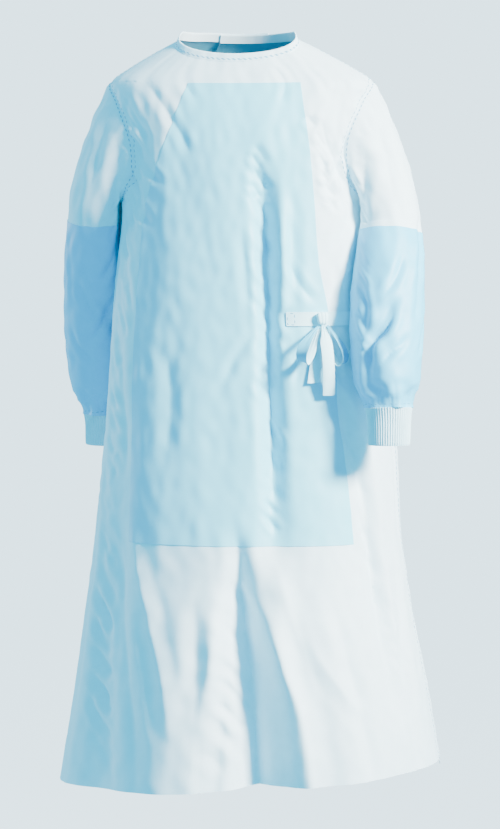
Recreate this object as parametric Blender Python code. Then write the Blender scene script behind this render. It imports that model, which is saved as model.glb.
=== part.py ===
"""Surgical gown that keeps the form it has on a wearer, with nobody in it.

Lengths are in metres and +Z is up. The front faces -Y, so the gown's own left side is at +X.
The origin lies midway between the neck ends of the two shoulder seams, where the wearer's
shoulders carry the gown. Angles round the body start at the gown's left side and turn
through the back, so the front lies at -90 degrees and the back at +90 degrees.
"""

from collections import namedtuple
from math import cos, pi, radians, sin

import bpy
import bmesh
import numpy as np
from mathutils import Matrix, Vector

# Cloth thicknesses and the gaps between pieces
WALL = 0.0016
REINFORCEMENT = 0.0010
BAND_WALL = 0.0020
CUFF_WALL = 0.0022
TAPE = 0.0012
SEAM = 0.0003
LAP_OUT = 0.0026

# Heights of the main lines, from the shoulder seams' neck ends
NECK_SIDE_Z = -0.010
NECK_FRONT_Z = -0.048
NECK_BACK_Z = -0.014
SHOULDER_Z = -0.078
SHOULDER_DIP = 0.005
ARMPIT_Z = -0.275
BELT_TOP_Z = -0.4500
BELT_BOTTOM_Z = -0.4730
PATCH_BOTTOM_Z = -0.824
HEM_Z = -1.211
HEM_TILT = 0.0195
HEM_TILT_START_Z = -0.88

# The collar band
BAND_HEIGHT = 0.015
BAND_LEAN = 0.42
BAND_PROUD = 0.0004
BAND_SHARES = (1.0, 0.5, 0.0)

# Half of each armhole's width, as an angle of the body's section
ARMHOLE_FRONT = radians(35)
ARMHOLE_BACK = radians(30)
ARMHOLE_SKEW = 0.16

# Free edges of the two back panels, and where the outer one starts to lift over the inner
OUTER_EDGE = radians(65)
INNER_EDGE = radians(112)
LIFT_START = radians(150)
LIFT_END = radians(120)

# Where the front reinforcement's two edges lie across the gown at each height
Edge = namedtuple("Edge", "z right_x left_x")
PATCH_EDGES = (
    Edge(-0.824, -0.172, 0.188),
    Edge(-0.600, -0.164, 0.160),
    Edge(-0.453, -0.158, 0.143),
    Edge(-0.370, -0.152, 0.128),
    Edge(-0.275, -0.143, 0.120),
    Edge(-0.190, -0.118, 0.113),
    Edge(-0.078, -0.081, 0.098),
)

# Mesh counts: intervals along and round the pieces
YOKE_ROWS = 4
ARMHOLE_ROWS = 10
MARGIN_COLUMNS = 6
PATCH_COLUMNS = 16
BACK_COLUMNS = (8, 7, 9)
LOWER_ROWS_Z = (
    -0.315, -0.360, -0.405, BELT_TOP_Z, BELT_BOTTOM_Z, -0.525, -0.580, -0.640, -0.700,
    -0.762, PATCH_BOTTOM_Z, -0.890, -0.965, -1.040, -1.110, -1.165, HEM_Z,
)

Section = namedtuple("Section", "z half_width front back centre_x boxiness")
SECTIONS = (
    Section(-1.250, 0.3230, 0.255, 0.277, 0.0098, 0.02),
    Section(-1.211, 0.3160, 0.250, 0.270, 0.0095, 0.02),
    Section(-1.120, 0.3005, 0.239, 0.256, 0.0088, 0.02),
    Section(-1.040, 0.2870, 0.228, 0.243, 0.0075, 0.02),
    Section(-0.960, 0.2725, 0.217, 0.230, 0.0050, 0.03),
    Section(-0.900, 0.2630, 0.207, 0.220, 0.0045, 0.03),
    Section(-0.824, 0.2530, 0.197, 0.208, 0.0040, 0.03),
    Section(-0.750, 0.2470, 0.188, 0.197, 0.0050, 0.04),
    Section(-0.670, 0.2410, 0.178, 0.185, 0.0060, 0.04),
    Section(-0.570, 0.2315, 0.167, 0.168, 0.0050, 0.05),
    Section(-0.460, 0.2220, 0.157, 0.153, 0.0040, 0.05),
    Section(-0.360, 0.2115, 0.150, 0.147, 0.0020, 0.05),
    Section(-0.275, 0.2035, 0.143, 0.144, 0.0000, 0.05),
    Section(-0.200, 0.2090, 0.134, 0.140, -0.0030, 0.04),
    Section(-0.145, 0.2140, 0.122, 0.132, -0.0050, 0.03),
    Section(-0.110, 0.2170, 0.110, 0.124, -0.0065, 0.02),
    Section(-0.078, 0.2150, 0.095, 0.112, -0.0075, 0.01),
    Section(-0.055, 0.1810, 0.081, 0.102, -0.0085, 0.00),
    Section(-0.035, 0.1460, 0.068, 0.088, -0.0100, 0.00),
    Section(-0.020, 0.1180, 0.058, 0.074, -0.0110, 0.00),
    Section(-0.010, 0.0980, 0.050, 0.062, -0.0120, 0.00),
    Section(0.000, 0.0780, 0.042, 0.050, -0.0120, 0.00),
)

# Soft troughs (negative) and ridges (positive) that fall down the body. Angles are in degrees.
Fold = namedtuple("Fold", "top_z bottom_z top_angle bottom_angle top_width bottom_width "
                          "top_depth bottom_depth")
BODY_FOLDS = (
    Fold(-0.17, -0.90, -78, -74, 0.024, 0.030, -0.010, -0.014),
    Fold(-0.80, -1.30, -89, -82, 0.018, 0.062, -0.008, -0.046),
    Fold(-0.86, -1.30, -108, -110, 0.030, 0.060, 0.004, 0.020),
    Fold(-0.55, -1.30, -145, -138, 0.035, 0.060, -0.005, -0.026),
    Fold(-0.88, -1.30, -62, -54, 0.030, 0.070, 0.004, 0.018),
    Fold(-0.52, -1.15, -47, -30, 0.018, 0.026, -0.006, -0.009),
    Fold(-0.12, -0.34, -48, -24, 0.018, 0.022, -0.004, -0.009),
    Fold(-0.12, -0.36, -132, -158, 0.018, 0.024, -0.004, -0.009),
    Fold(-0.62, -1.30, 36, 40, 0.040, 0.065, -0.006, -0.030),
    Fold(-0.62, -1.30, 140, 136, 0.040, 0.065, -0.006, -0.032),
    Fold(-0.30, -0.80, 30, 34, 0.026, 0.034, -0.006, -0.010),
    Fold(-0.30, -0.80, 148, 146, 0.026, 0.034, -0.006, -0.010),
)
FOLD_FADE = 0.10

# Sleeves: stations down the middle of each arm, from just below the armpit to the cuff
Station = namedtuple("Station", "x y z half_width half_depth")
LEFT_ARM = (
    Station(0.2375, -0.036, -0.3120, 0.0520, 0.0650),
    Station(0.2400, -0.065, -0.3600, 0.0570, 0.0660),
    Station(0.2418, -0.102, -0.4350, 0.0590, 0.0650),
    Station(0.2430, -0.131, -0.5150, 0.0570, 0.0620),
    Station(0.2455, -0.147, -0.5680, 0.0500, 0.0550),
    Station(0.2490, -0.156, -0.6020, 0.0385, 0.0400),
    Station(0.2506, -0.168, -0.6610, 0.0335, 0.0345),
)
RIGHT_ARM = (
    Station(-0.2440, 0.009, -0.2890, 0.0520, 0.0650),
    Station(-0.2505, 0.042, -0.3640, 0.0570, 0.0660),
    Station(-0.2560, 0.072, -0.4450, 0.0590, 0.0650),
    Station(-0.2580, 0.098, -0.5300, 0.0570, 0.0620),
    Station(-0.2560, 0.112, -0.5950, 0.0500, 0.0550),
    Station(-0.2530, 0.119, -0.6330, 0.0385, 0.0400),
    Station(-0.2560, 0.129, -0.6870, 0.0335, 0.0345),
)
RING_LEAN = 0.35
CAP_STEPS = (0.0, 0.10, 0.24, 0.42, 0.62, 0.82)
SLEEVE_SHARES = (0.0, 0.055, 0.19, 0.32, 0.45, 0.575, 0.70, 0.81, 0.895, 0.955, 1.0)
SLEEVE_PATCH_ROW = 1
CAP_HEADING = (0.62, 0.20, -0.53)
CAP_SPREAD = 0.10
CAP_LEAVES_BY = 0.30
CAP_ARRIVES_BY = 0.90
CAP_SEAM = 0.00036
CAP_CLEARS_BY = 0.30
ARM_STEP = 0.004
SLEEVE_CLEARANCE = 0.0075
SLEEVE_SOFTNESS = 0.0030
GATHER_START = 0.80
GATHER_DEPTH = 0.0022
GATHER_WAVES = 5

# Creases of the sleeves. Their angles go round the arm: 0 outside, 90 back, 180 inside, 270 front.
LEFT_SLEEVE_FOLDS = (
    Fold(-0.425, -0.520, 292, 240, 0.012, 0.016, -0.008, -0.010),
    Fold(-0.500, -0.600, 243, 240, 0.016, 0.018, -0.009, -0.006),
    Fold(-0.410, -0.500, 70, 120, 0.014, 0.018, -0.006, -0.008),
)
RIGHT_SLEEVE_FOLDS = (
    Fold(-0.420, -0.510, 262, 218, 0.013, 0.016, -0.007, -0.009),
    Fold(-0.400, -0.510, 60, 105, 0.014, 0.018, -0.006, -0.009),
)
SLEEVE_FOLD_FADE = 0.030

# Knitted cuffs
CUFF_RIBS = 30
CUFF_ROWS = 3
RIB_DEPTH = 0.0009

# Waist tie: the belt runs from the outer back panel's edge to a bow on the gown's left front
BELT_FRONT_X = 0.0815
BOW_X = 0.131
BELT_FRONT_COLUMNS = 4
BELT_BACK_COLUMN = 10
BELT_CLEARANCE = 0.00045
BELT_OUT = SEAM + REINFORCEMENT + BELT_CLEARANCE
BELT_LIFT_START = radians(38)
BELT_LIFT_END = radians(57)
KNOT_SIZE = (0.018, 0.0125, 0.021)
KNOT_BEVEL = 0.0025
TIE_WIDTH = 0.020
TIE_ROOT_WIDTH = 0.0064
TIE_OPENS_OVER = 0.28
TIE_ROOT_Z = -KNOT_SIZE[2] / 2 - SEAM
BOW_REACH = 0.14
BOW_TURN = 0.02

# The bow's loops: which way each one points, and how far its front half stands open
Loop = namedtuple("Loop", "name ahead_x ahead_z front_height")
LOOPS = (
    Loop("tie_loop_right", -0.52, -0.86, 0.019),
    Loop("tie_loop_left", 0.27, -0.96, 0.013),
)
LOOP_LENGTH = 0.066
LOOP_BACK = 0.007
LOOP_TILT = radians(42)
LOOP_STAND = 0.011
LOOP_ROOT_X = 0.0062
LOOP_ROOT_Y = -0.0068
LOOP_ROOT_GAP = 0.0032
LOOP_STEPS = 20

# The bow's free ends
Tail = namedtuple("Tail", "name root_x root_y end_x end_y length sag")
TAILS = (
    Tail("tie_end_front", 0.0000, -0.0092, 0.002, -0.0120, 0.113, 0.0120),
    Tail("tie_end_back", -0.0015, -0.0026, -0.020, -0.0030, 0.092, 0.0005),
)
TAIL_STEPS = 8

# Hook tape at the back of the neck, on the outer panel and past its edge
TAB_ROWS = (1, 3)
TAB_COLUMNS = (6, 10)

Finish = namedtuple("Finish", "colour roughness")
FINISHES = {
    "gown_cloth": Finish((0.83, 0.91, 0.94), 0.75),
    "reinforced_cloth": Finish((0.56, 0.80, 0.89), 0.60),
    "knit": Finish((0.90, 0.94, 0.95), 0.90),
    "tie_tape": Finish((0.86, 0.94, 0.96), 0.80),
    "hook_tape": Finish((0.92, 0.95, 0.96), 0.85),
}


def spline(knots, values, at):
    """The smooth curve through (knots, values), read at the given places."""
    knots, values = np.asarray(knots, float), np.asarray(values, float)
    slopes = np.gradient(values, knots)
    at = np.clip(at, knots[0], knots[-1])
    i = np.clip(np.searchsorted(knots, at) - 1, 0, len(knots) - 2)
    step = knots[i + 1] - knots[i]
    w = (at - knots[i]) / step
    ahead, back = w * w * (3 - 2 * w), w * (1 - w)
    return (values[i] * (1 - ahead) + values[i + 1] * ahead
            + step * back * ((1 - w) * slopes[i] - w * slopes[i + 1]))


def smooth_step(x):
    x = np.clip(x, 0, 1)
    return x * x * (3 - 2 * x)


def unit(vectors):
    return vectors / np.linalg.norm(vectors, axis=-1, keepdims=True)


def section(z):
    """The body's section at each height: a Section whose fields are arrays."""
    heights = [s.z for s in SECTIONS]
    fields = [spline(heights, [getattr(s, f) for s in SECTIONS], z) for f in Section._fields[1:]]
    return Section(z, *fields)


def fold_shares(fold, z, fade):
    """How far down a fold each height is, and how much of the fold's depth it has there."""
    down = (fold.top_z - z) / (fold.top_z - fold.bottom_z)
    shown = smooth_step((fold.top_z - z) / fade) * smooth_step((z - fold.bottom_z) / fade)
    return np.clip(down, 0, 1), shown


def fold_push(folds, angle, z, radius, fade):
    """How far the folds move the cloth outwards at each angle and height."""
    push = np.zeros(np.broadcast(angle, z).shape)
    for fold in folds:
        down, shown = fold_shares(fold, z, fade)
        middle = np.radians(fold.top_angle + (fold.bottom_angle - fold.top_angle) * down)
        width = fold.top_width + (fold.bottom_width - fold.top_width) * down
        depth = fold.top_depth + (fold.bottom_depth - fold.top_depth) * down
        away = (angle - middle + pi) % (2 * pi) - pi
        push += depth * shown * np.exp(-((away * radius / width) ** 2))
    return push


def body_cloth(angle, z):
    """Points of the body's outer surface, without any thickness or lift."""
    angle, z = np.broadcast_arrays(np.asarray(angle, float), np.asarray(z, float))
    s = section(z)
    cosine, sine = np.cos(angle), np.sin(angle)
    depth = np.where(sine < 0, s.front, s.back)
    box = 1 + s.boxiness * np.sin(2 * angle) ** 2
    radius = np.hypot(s.half_width * sine, depth * cosine)
    push = fold_push(BODY_FOLDS, angle, z, radius, FOLD_FADE)
    out_x, out_y = cosine / s.half_width, sine / depth
    length = np.hypot(out_x, out_y)
    x = s.centre_x + s.half_width * cosine * box + push * out_x / length
    y = depth * sine * box + push * out_y / length
    return np.stack([x, y, z], axis=-1)


def body_surface(angle, z, out=0.0):
    """Points of the body's cloth moved out along its normals."""
    turn, drop = 1e-3, 1e-3
    along = body_cloth(angle + turn, z) - body_cloth(angle - turn, z)
    up = body_cloth(angle, z) - body_cloth(angle, z - drop)
    normal = unit(np.cross(along, up))
    return body_cloth(angle, z) + normal * np.asarray(out)[..., None]


def neck_z(angle):
    low = np.where(np.sin(angle) < 0, NECK_FRONT_Z, NECK_BACK_Z)
    return NECK_SIDE_Z + (low - NECK_SIDE_Z) * np.sin(angle) ** 2


def armhole_turn(row):
    """The angle, from 0 at the shoulder to pi at the armpit, of a row that ends on the armhole."""
    return pi * (row - YOKE_ROWS) / ARMHOLE_ROWS


def armhole_share(row):
    """How much of its greatest width the armhole has at a row."""
    turn = armhole_turn(np.clip(row, YOKE_ROWS, YOKE_ROWS + ARMHOLE_ROWS))
    return np.sin(turn) * (1 - ARMHOLE_SKEW * np.cos(turn))


def body_row(z):
    """The grid's row at one of the heights below the armpit."""
    return YOKE_ROWS + ARMHOLE_ROWS + 1 + LOWER_ROWS_Z.index(z)


def row_count():
    return body_row(HEM_Z) + 1


def row_z(row, angle):
    """Height of the grid's row at each angle: the yoke's rows fan out from the neckline."""
    dip = SHOULDER_DIP * np.where(np.sin(angle) < 0, np.sin(angle) ** 2, 0)
    if row <= YOKE_ROWS:
        top = neck_z(angle)
        return top + (SHOULDER_Z - dip - top) * row / YOKE_ROWS
    if row <= YOKE_ROWS + ARMHOLE_ROWS:
        share = (1 - np.cos(armhole_turn(row))) / 2
        return SHOULDER_Z + (ARMPIT_Z - SHOULDER_Z) * share - dip * (1 - share)
    level = LOWER_ROWS_Z[row - YOKE_ROWS - ARMHOLE_ROWS - 1]
    tilt = HEM_TILT * smooth_step((HEM_TILT_START_Z - level) / (HEM_TILT_START_Z - HEM_Z))
    return level + tilt * np.cos(angle)


def spread(stops, counts):
    """Angles from stop to stop, evenly spaced between each two."""
    parts = [np.linspace(a, b, n, endpoint=False) for a, b, n in zip(stops, stops[1:], counts)]
    return np.concatenate([*parts, [stops[-1]]])


def seam_turn(row):
    """Half a seam's gap, as an angle at the sides."""
    depth = section(row_z(row, np.array(0.0))).front
    return 0.5 * SEAM / float(depth)


def patch_edges(row):
    """Angles of the front reinforcement's two edges at a row."""
    level = SHOULDER_Z if row <= YOKE_ROWS else float(row_z(row, np.array(-pi / 2)))
    heights = [e.z for e in PATCH_EDGES]
    s = section(np.array(max(level, PATCH_BOTTOM_Z)))
    found = []
    for places in ([e.right_x for e in PATCH_EDGES], [e.left_x for e in PATCH_EDGES]):
        found.append(-float(np.arccos((spline(heights, places, s.z) - s.centre_x) / s.half_width)))
    return found


def front_angles(row):
    side = ARMHOLE_FRONT * armhole_share(row) + seam_turn(row)
    right, left = patch_edges(row)
    return spread((-pi + side, right, left, -side),
                  (MARGIN_COLUMNS, PATCH_COLUMNS, MARGIN_COLUMNS))


def back_angles(row):
    side = ARMHOLE_BACK * armhole_share(row) + seam_turn(row)
    return spread((side, OUTER_EDGE, INNER_EDGE, pi - side), BACK_COLUMNS)


def lift(angle):
    """How far the outer back panel, and what is on it, lies outside the inner one."""
    return LAP_OUT * smooth_step((LIFT_START - angle) / (LIFT_START - LIFT_END))


def body_grid(angles_of, rows, columns, out):
    """Points of the body's grid for a range of rows and columns; out is a number or a rule."""
    grid = []
    for row in rows:
        angles = angles_of(row)[columns]
        away = out(angles) if callable(out) else np.full(angles.shape, out)
        grid.append(body_surface(angles, row_z(row, angles), away))
    return np.array(grid)


def make_material(name, finish):
    """Each piece has its own material, with the finish of the cloth it is cut from."""
    colour, roughness = FINISHES[finish]
    material = bpy.data.materials.new(name)
    material.use_nodes = True
    shader = material.node_tree.nodes["Principled BSDF"]
    shader.inputs["Base Color"].default_value = (*colour, 1.0)
    shader.inputs["Roughness"].default_value = roughness
    shader.inputs["Metallic"].default_value = 0.0
    material.diffuse_color = (*colour, 1.0)
    return material


def add_mesh(name, mesh, parent, finish):
    obj = bpy.data.objects.new(name, mesh)
    mesh.materials.append(make_material(name, finish))
    obj.parent = parent
    bpy.context.scene.collection.objects.link(obj)


def wall_mesh(name, outer, inner, around=False):
    """A closed solid between two grids of points. Around joins the last column to the first."""
    rows, columns = outer.shape[:2]
    half = rows * columns
    faces = []

    def corner(i, j, side):
        return side * half + i * columns + j % columns

    for i in range(rows - 1):
        for j in range(columns if around else columns - 1):
            for side in (0, 1):
                a, b = corner(i, j, side), corner(i, j + 1, side)
                c, d = corner(i + 1, j + 1, side), corner(i + 1, j, side)
                faces += [(a, d, c), (a, c, b)] if side == 0 else [(c, d, a), (b, c, a)]
    for j in range(columns if around else columns - 1):
        for i, order in ((0, 1), (rows - 1, -1)):
            rim = (corner(i, j, 0), corner(i, j + 1, 0), corner(i, j + 1, 1), corner(i, j, 1))
            faces.append(rim[::order])
    if not around:
        for i in range(rows - 1):
            for j, order in ((0, -1), (columns - 1, 1)):
                rim = (corner(i, j, 0), corner(i + 1, j, 0), corner(i + 1, j, 1), corner(i, j, 1))
                faces.append(rim[::order])
    mesh = bpy.data.meshes.new(name)
    points = np.concatenate([outer.reshape(-1, 3), inner.reshape(-1, 3)])
    mesh.from_pydata([tuple(p) for p in points], [], faces)
    shape = bmesh.new()
    shape.from_mesh(mesh)
    bmesh.ops.recalc_face_normals(shape, faces=shape.faces)
    shape.to_mesh(mesh)
    shape.free()
    mesh.shade_smooth()
    mesh.set_sharp_from_angle(angle=radians(50))
    return mesh


def add_wall(name, outer, inner, parent, finish, around=False):
    add_mesh(name, wall_mesh(name, outer, inner, around), parent, finish)


def add_body_piece(name, angles_of, rows, columns, out, thickness, parent, finish):
    """A piece of cloth that lies on the body: its inner face is moved out by out."""
    def outer_rule(angles):
        return (out(angles) if callable(out) else out) + thickness + 0 * angles

    outer = body_grid(angles_of, rows, columns, outer_rule)
    inner = body_grid(angles_of, rows, columns, out)
    add_wall(name, outer, inner, parent, finish)


def add_panels(parent):
    """Front panel, the two back panels that lap over, and the reinforcement on the front."""
    rows = range(row_count())
    add_body_piece("front_panel", front_angles, rows, slice(None), -WALL, WALL, parent,
                   "gown_cloth")
    left = slice(0, BACK_COLUMNS[0] + BACK_COLUMNS[1] + 1)
    add_body_piece("left_back_panel", back_angles, rows, left, -WALL, WALL, parent,
                   "gown_cloth")
    right = slice(BACK_COLUMNS[0], None)
    add_body_piece("right_back_panel", back_angles, rows, right, lambda a: lift(a) - WALL,
                   WALL, parent, "gown_cloth")
    patch_rows = range(YOKE_ROWS, body_row(PATCH_BOTTOM_Z) + 1)
    patch = slice(MARGIN_COLUMNS, MARGIN_COLUMNS + PATCH_COLUMNS + 1)
    add_body_piece("front_reinforcement", front_angles, patch_rows, patch, SEAM,
                   REINFORCEMENT, parent, "reinforced_cloth")


def band_angles():
    """Angles of the collar band, from the inner back panel's edge round to the outer one's."""
    back, front = back_angles(0), front_angles(0)
    left = back[: BACK_COLUMNS[0] + BACK_COLUMNS[1] + 1][::-1]
    right = back[BACK_COLUMNS[0]:][::-1] - 2 * pi
    return np.concatenate([left[:-1], [0.0], front[::-1][1:-1], [-pi], right[1:]])


def add_collar(parent):
    """The binding round the neck: one strip, lapped at the back like the panels."""
    angles = band_angles()
    edge_z = neck_z(angles)
    raised = lift(angles + 2 * pi) * (angles < -pi)
    foot = body_surface(angles, edge_z, raised)
    beyond = np.array([0.0, 0.0, 1.0]) * SEAM
    inward = unit(np.stack([-np.cos(angles), -np.sin(angles), 0 * angles], axis=-1))
    rise = unit(inward * BAND_LEAN + np.array([0.0, 0.0, 1.0]))
    face = unit(-inward + np.array([0.0, 0.0, BAND_LEAN]))
    outer, inner = [], []
    for share in BAND_SHARES:
        line = foot + beyond + rise * BAND_HEIGHT * share
        outer.append(line + face * BAND_PROUD)
        inner.append(line + face * (BAND_PROUD - BAND_WALL))
    add_wall("collar_band", np.array(outer), np.array(inner), parent, "gown_cloth")


def arm_curve(stations, z):
    """Middle, half width and half depth of a sleeve at each height."""
    order = sorted(stations, key=lambda s: s.z)
    heights = [s.z for s in order]
    x, y, wide, deep = (spline(heights, [getattr(s, f) for s in order], z)
                        for f in ("x", "y", "half_width", "half_depth"))
    return np.stack([x, y, z], axis=-1), wide, deep


def arm_ring(stations, z, turns):
    """One ring round the arm, leant a little with it, and the arm's direction."""
    middle, wide, deep = arm_curve(stations, np.array(z))
    below, _, _ = arm_curve(stations, np.array(z - ARM_STEP))
    above, _, _ = arm_curve(stations, np.array(z + ARM_STEP))
    down = unit(below - above)
    plane = unit(down * [RING_LEAN, RING_LEAN, 1.0])
    across = np.array([np.sign(stations[0].x), 0.0, 0.0])
    across = unit(across - plane * (across @ plane))
    behind = np.array([0.0, 1.0, 0.0])
    behind = behind - plane * (behind @ plane)
    behind = unit(behind - across * (behind @ across))
    ring = (middle + wide * np.cos(turns)[:, None] * across
            + deep * np.sin(turns)[:, None] * behind)
    return ring, down


def sleeve_levels(stations):
    """Heights of the sleeve's rings, from the first station to the cuff's top."""
    top, bottom = stations[0].z, stations[-2].z
    return [top + (bottom - top) * share for share in SLEEVE_SHARES]


def armhole_loop(side):
    """The armhole's edge as the panels have it, from the shoulder round through the back."""
    def point(row, front):
        sweep = (ARMHOLE_FRONT if front else ARMHOLE_BACK) * armhole_share(row)
        angle = -sweep if front else sweep
        if side < 0:
            angle = pi - angle
        return body_surface(np.array(angle), row_z(row, np.array(angle)))

    down = [point(YOKE_ROWS + i, False) for i in range(ARMHOLE_ROWS + 1)]
    up = [point(YOKE_ROWS + i, True) for i in range(ARMHOLE_ROWS - 1, 0, -1)]
    return np.array(down + up)


def clear_of_body(points, clearance):
    """Moves points that lie in or near the body out to the clearance, with no sharp bend."""
    s = section(points[..., 2])
    x, y = points[..., 0] - s.centre_x, points[..., 1]
    depth = np.where(y < 0, s.front, s.back)
    angle = np.arctan2(y / depth, x / s.half_width)
    ellipse = np.hypot(s.half_width * np.cos(angle), depth * np.sin(angle))
    surface = body_cloth(angle, points[..., 2])
    cloth = np.hypot(surface[..., 0] - s.centre_x, surface[..., 1])
    share = np.hypot(x / s.half_width, y / depth)
    spare = share * ellipse - cloth - clearance
    moved = 0.5 * (spare + np.sqrt(spare ** 2 + SLEEVE_SOFTNESS ** 2))
    scale = (cloth + clearance + moved) / (share * ellipse)
    return np.stack([s.centre_x + x * scale, y * scale, points[..., 2]], axis=-1)


def sleeve_folds(grid, stations, folds, turns):
    """Moves the arm's rings along their radius by the creases and the gathers at the cuff."""
    for i, (z, share) in enumerate(zip(sleeve_levels(stations), SLEEVE_SHARES)):
        middle, wide, _ = arm_curve(stations, np.array(z))
        ring = grid[len(CAP_STEPS) + i]
        push = fold_push(folds, turns, np.array(z), wide, SLEEVE_FOLD_FADE)
        gather = smooth_step((share - GATHER_START) / (1 - GATHER_START))
        push = push + GATHER_DEPTH * gather * np.cos(GATHER_WAVES * turns)
        ring += unit(ring - middle) * push[:, None]


def sleeve_grid(stations, folds):
    """A sleeve's outer points: rows from the armhole to the cuff, columns round the arm."""
    side = np.sign(stations[0].x)
    count = 2 * ARMHOLE_ROWS
    turns = 2 * pi * np.arange(count) / count
    loop = armhole_loop(side)
    loop += unit(loop.mean(axis=0) - loop) * CAP_SEAM
    levels = sleeve_levels(stations)
    ring, down = arm_ring(stations, levels[0], turns)
    reach = np.linalg.norm(ring - loop, axis=1, keepdims=True)
    out_x, out_y, out_z = CAP_HEADING
    leave = unit(np.stack([np.full(count, side * out_x), out_y * np.sin(turns),
                           out_z - CAP_SPREAD * np.cos(turns)], axis=-1))
    grid = []
    for w in CAP_STEPS:
        blend = w * w * (3 - 2 * w)
        grid.append(loop * (1 - blend) + ring * blend
                    + leave * reach * CAP_LEAVES_BY * w * (1 - w) ** 2
                    - down * reach * CAP_ARRIVES_BY * w * w * (1 - w))
    grid += [arm_ring(stations, z, turns)[0] for z in levels]
    grid = np.array(grid)
    sleeve_folds(grid, stations, folds, turns)
    for i in range(1, len(grid)):
        ramp = smooth_step(CAP_STEPS[i] / CAP_CLEARS_BY) if i < len(CAP_STEPS) else 1.0
        grid[i] = clear_of_body(grid[i], SLEEVE_CLEARANCE * ramp)
    return grid


def tube_normals(grid, side):
    """Outward normals of a tube's grid; its first ring faces away from the armhole's middle."""
    round_it = np.roll(grid, -1, axis=1) - np.roll(grid, 1, axis=1)
    down_it = np.gradient(grid, axis=0)
    normals = unit(np.cross(down_it, round_it)) * side
    first = grid[0] - grid[0].mean(axis=0)
    first[:, 0] = 0
    normals[0] = unit(first)
    normals[-1] = unit(grid[-1] - grid[-1].mean(axis=0))
    return normals


def add_sleeve(name, stations, folds, parent):
    grid = sleeve_grid(stations, folds)
    normals = tube_normals(grid, np.sign(stations[0].x))
    add_wall(f"{name}_sleeve", grid, grid - normals * WALL, parent, "gown_cloth", True)
    first = len(CAP_STEPS) + SLEEVE_PATCH_ROW
    grid, normals = grid[first:], normals[first:]
    add_wall(f"{name}_sleeve_reinforcement", grid + normals * (SEAM + REINFORCEMENT),
             grid + normals * SEAM, parent, "reinforced_cloth", True)


def add_cuff(name, stations, parent):
    """A knitted tube with its ribs raised on the outside."""
    count = 2 * CUFF_RIBS
    turns = 2 * pi * np.arange(count) / count
    outer, inner = [], []
    for z in np.linspace(stations[-2].z - SEAM, stations[-1].z, CUFF_ROWS + 1):
        middle = arm_curve(stations, np.array(z))[0]
        ring = arm_ring(stations, float(z), turns)[0]
        out = unit(ring - middle)
        rib = RIB_DEPTH * np.cos(pi * np.arange(count))[:, None]
        outer.append(ring + out * (rib - RIB_DEPTH))
        inner.append(ring - out * (CUFF_WALL + RIB_DEPTH))
    add_wall(f"{name}_cuff", np.array(outer), np.array(inner), parent, "knit", True)


def belt_angle(x):
    """The angle at which the belt's top edge is at x across the front."""
    s = section(np.array(BELT_TOP_Z))
    return -float(np.arccos((x - s.centre_x) / s.half_width))


def belt_out(angle):
    """The belt lies on the cloth, then climbs onto the outer back panel where it is sewn."""
    climb = smooth_step((angle - BELT_LIFT_START) / (BELT_LIFT_END - BELT_LIFT_START))
    return BELT_OUT + (LAP_OUT - REINFORCEMENT) * climb


def add_belt(parent):
    """Two lengths of tape: a short one sewn to the front, a long one from the back panel."""
    rows = (body_row(BELT_TOP_Z), body_row(BELT_BOTTOM_Z))
    join = belt_angle(BOW_X)
    gap = 2 * seam_turn(rows[0])
    front = np.linspace(belt_angle(BELT_FRONT_X), join - gap, BELT_FRONT_COLUMNS + 1)
    add_body_piece("waist_tie_front", lambda row: front, rows, slice(None), BELT_OUT, TAPE,
                   parent, "tie_tape")

    def side_angles(row):
        margin = front_angles(row)[MARGIN_COLUMNS + PATCH_COLUMNS:]
        start = np.linspace(join + gap, margin[0], BELT_FRONT_COLUMNS)
        back = back_angles(row)[1:BELT_BACK_COLUMN + 1]
        return np.concatenate([start[:-1], margin[:-1], [0.0], back])

    add_body_piece("waist_tie_side", side_angles, rows, slice(None), belt_out, TAPE,
                   parent, "tie_tape")


def tie_width(share):
    """A tie is bunched at the knot and opens to its full width."""
    return TIE_ROOT_WIDTH + (TIE_WIDTH - TIE_ROOT_WIDTH) * smooth_step(share / TIE_OPENS_OVER)


def add_ribbon(name, path, across, widths, parent):
    """A flat tape along a path; across is the direction of its width."""
    path = np.array(path)
    ahead = unit(np.gradient(path, axis=0))
    face = unit(np.cross(ahead, across)) * TAPE / 2
    reach = unit(np.array(across)) * np.array(widths)[:, None] / 2
    outer = np.stack([path - reach + face, path + reach + face], axis=1)
    inner = np.stack([path - reach - face, path + reach - face], axis=1)
    add_wall(name, outer, inner, parent, "tie_tape")


def add_loop(loop, parent):
    """One loop of the bow. Its axes are x along the belt, y inwards and z up."""
    ahead = unit(np.array([loop.ahead_x, 0.0, loop.ahead_z]))
    outwards = np.array([0.0, -1.0, 0.0])
    square = np.cross(outwards, ahead) * np.sign(loop.ahead_x)
    rise = square * sin(LOOP_TILT) + outwards * cos(LOOP_TILT)
    across = np.cross(ahead, rise)
    drop = (abs(across[2]) * TIE_ROOT_WIDTH + abs(rise[2]) * (LOOP_ROOT_GAP + TAPE)) / 2
    root = np.array([np.sign(loop.ahead_x) * LOOP_ROOT_X, LOOP_ROOT_Y, TIE_ROOT_Z - drop])
    path, widths = [], []
    for step in range(LOOP_STEPS + 1):
        share = step / LOOP_STEPS
        height = loop.front_height if share < 0.5 else LOOP_BACK
        away = height * sin(2 * pi * share) + LOOP_ROOT_GAP * (0.5 - share)
        stand = LOOP_STAND * sin(pi * share)
        path.append(root + ahead * LOOP_LENGTH * sin(pi * share) + rise * away
                    + outwards * stand)
        widths.append(tie_width(min(share, 1 - share)))
    add_ribbon(loop.name, path, across, widths, parent)


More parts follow.
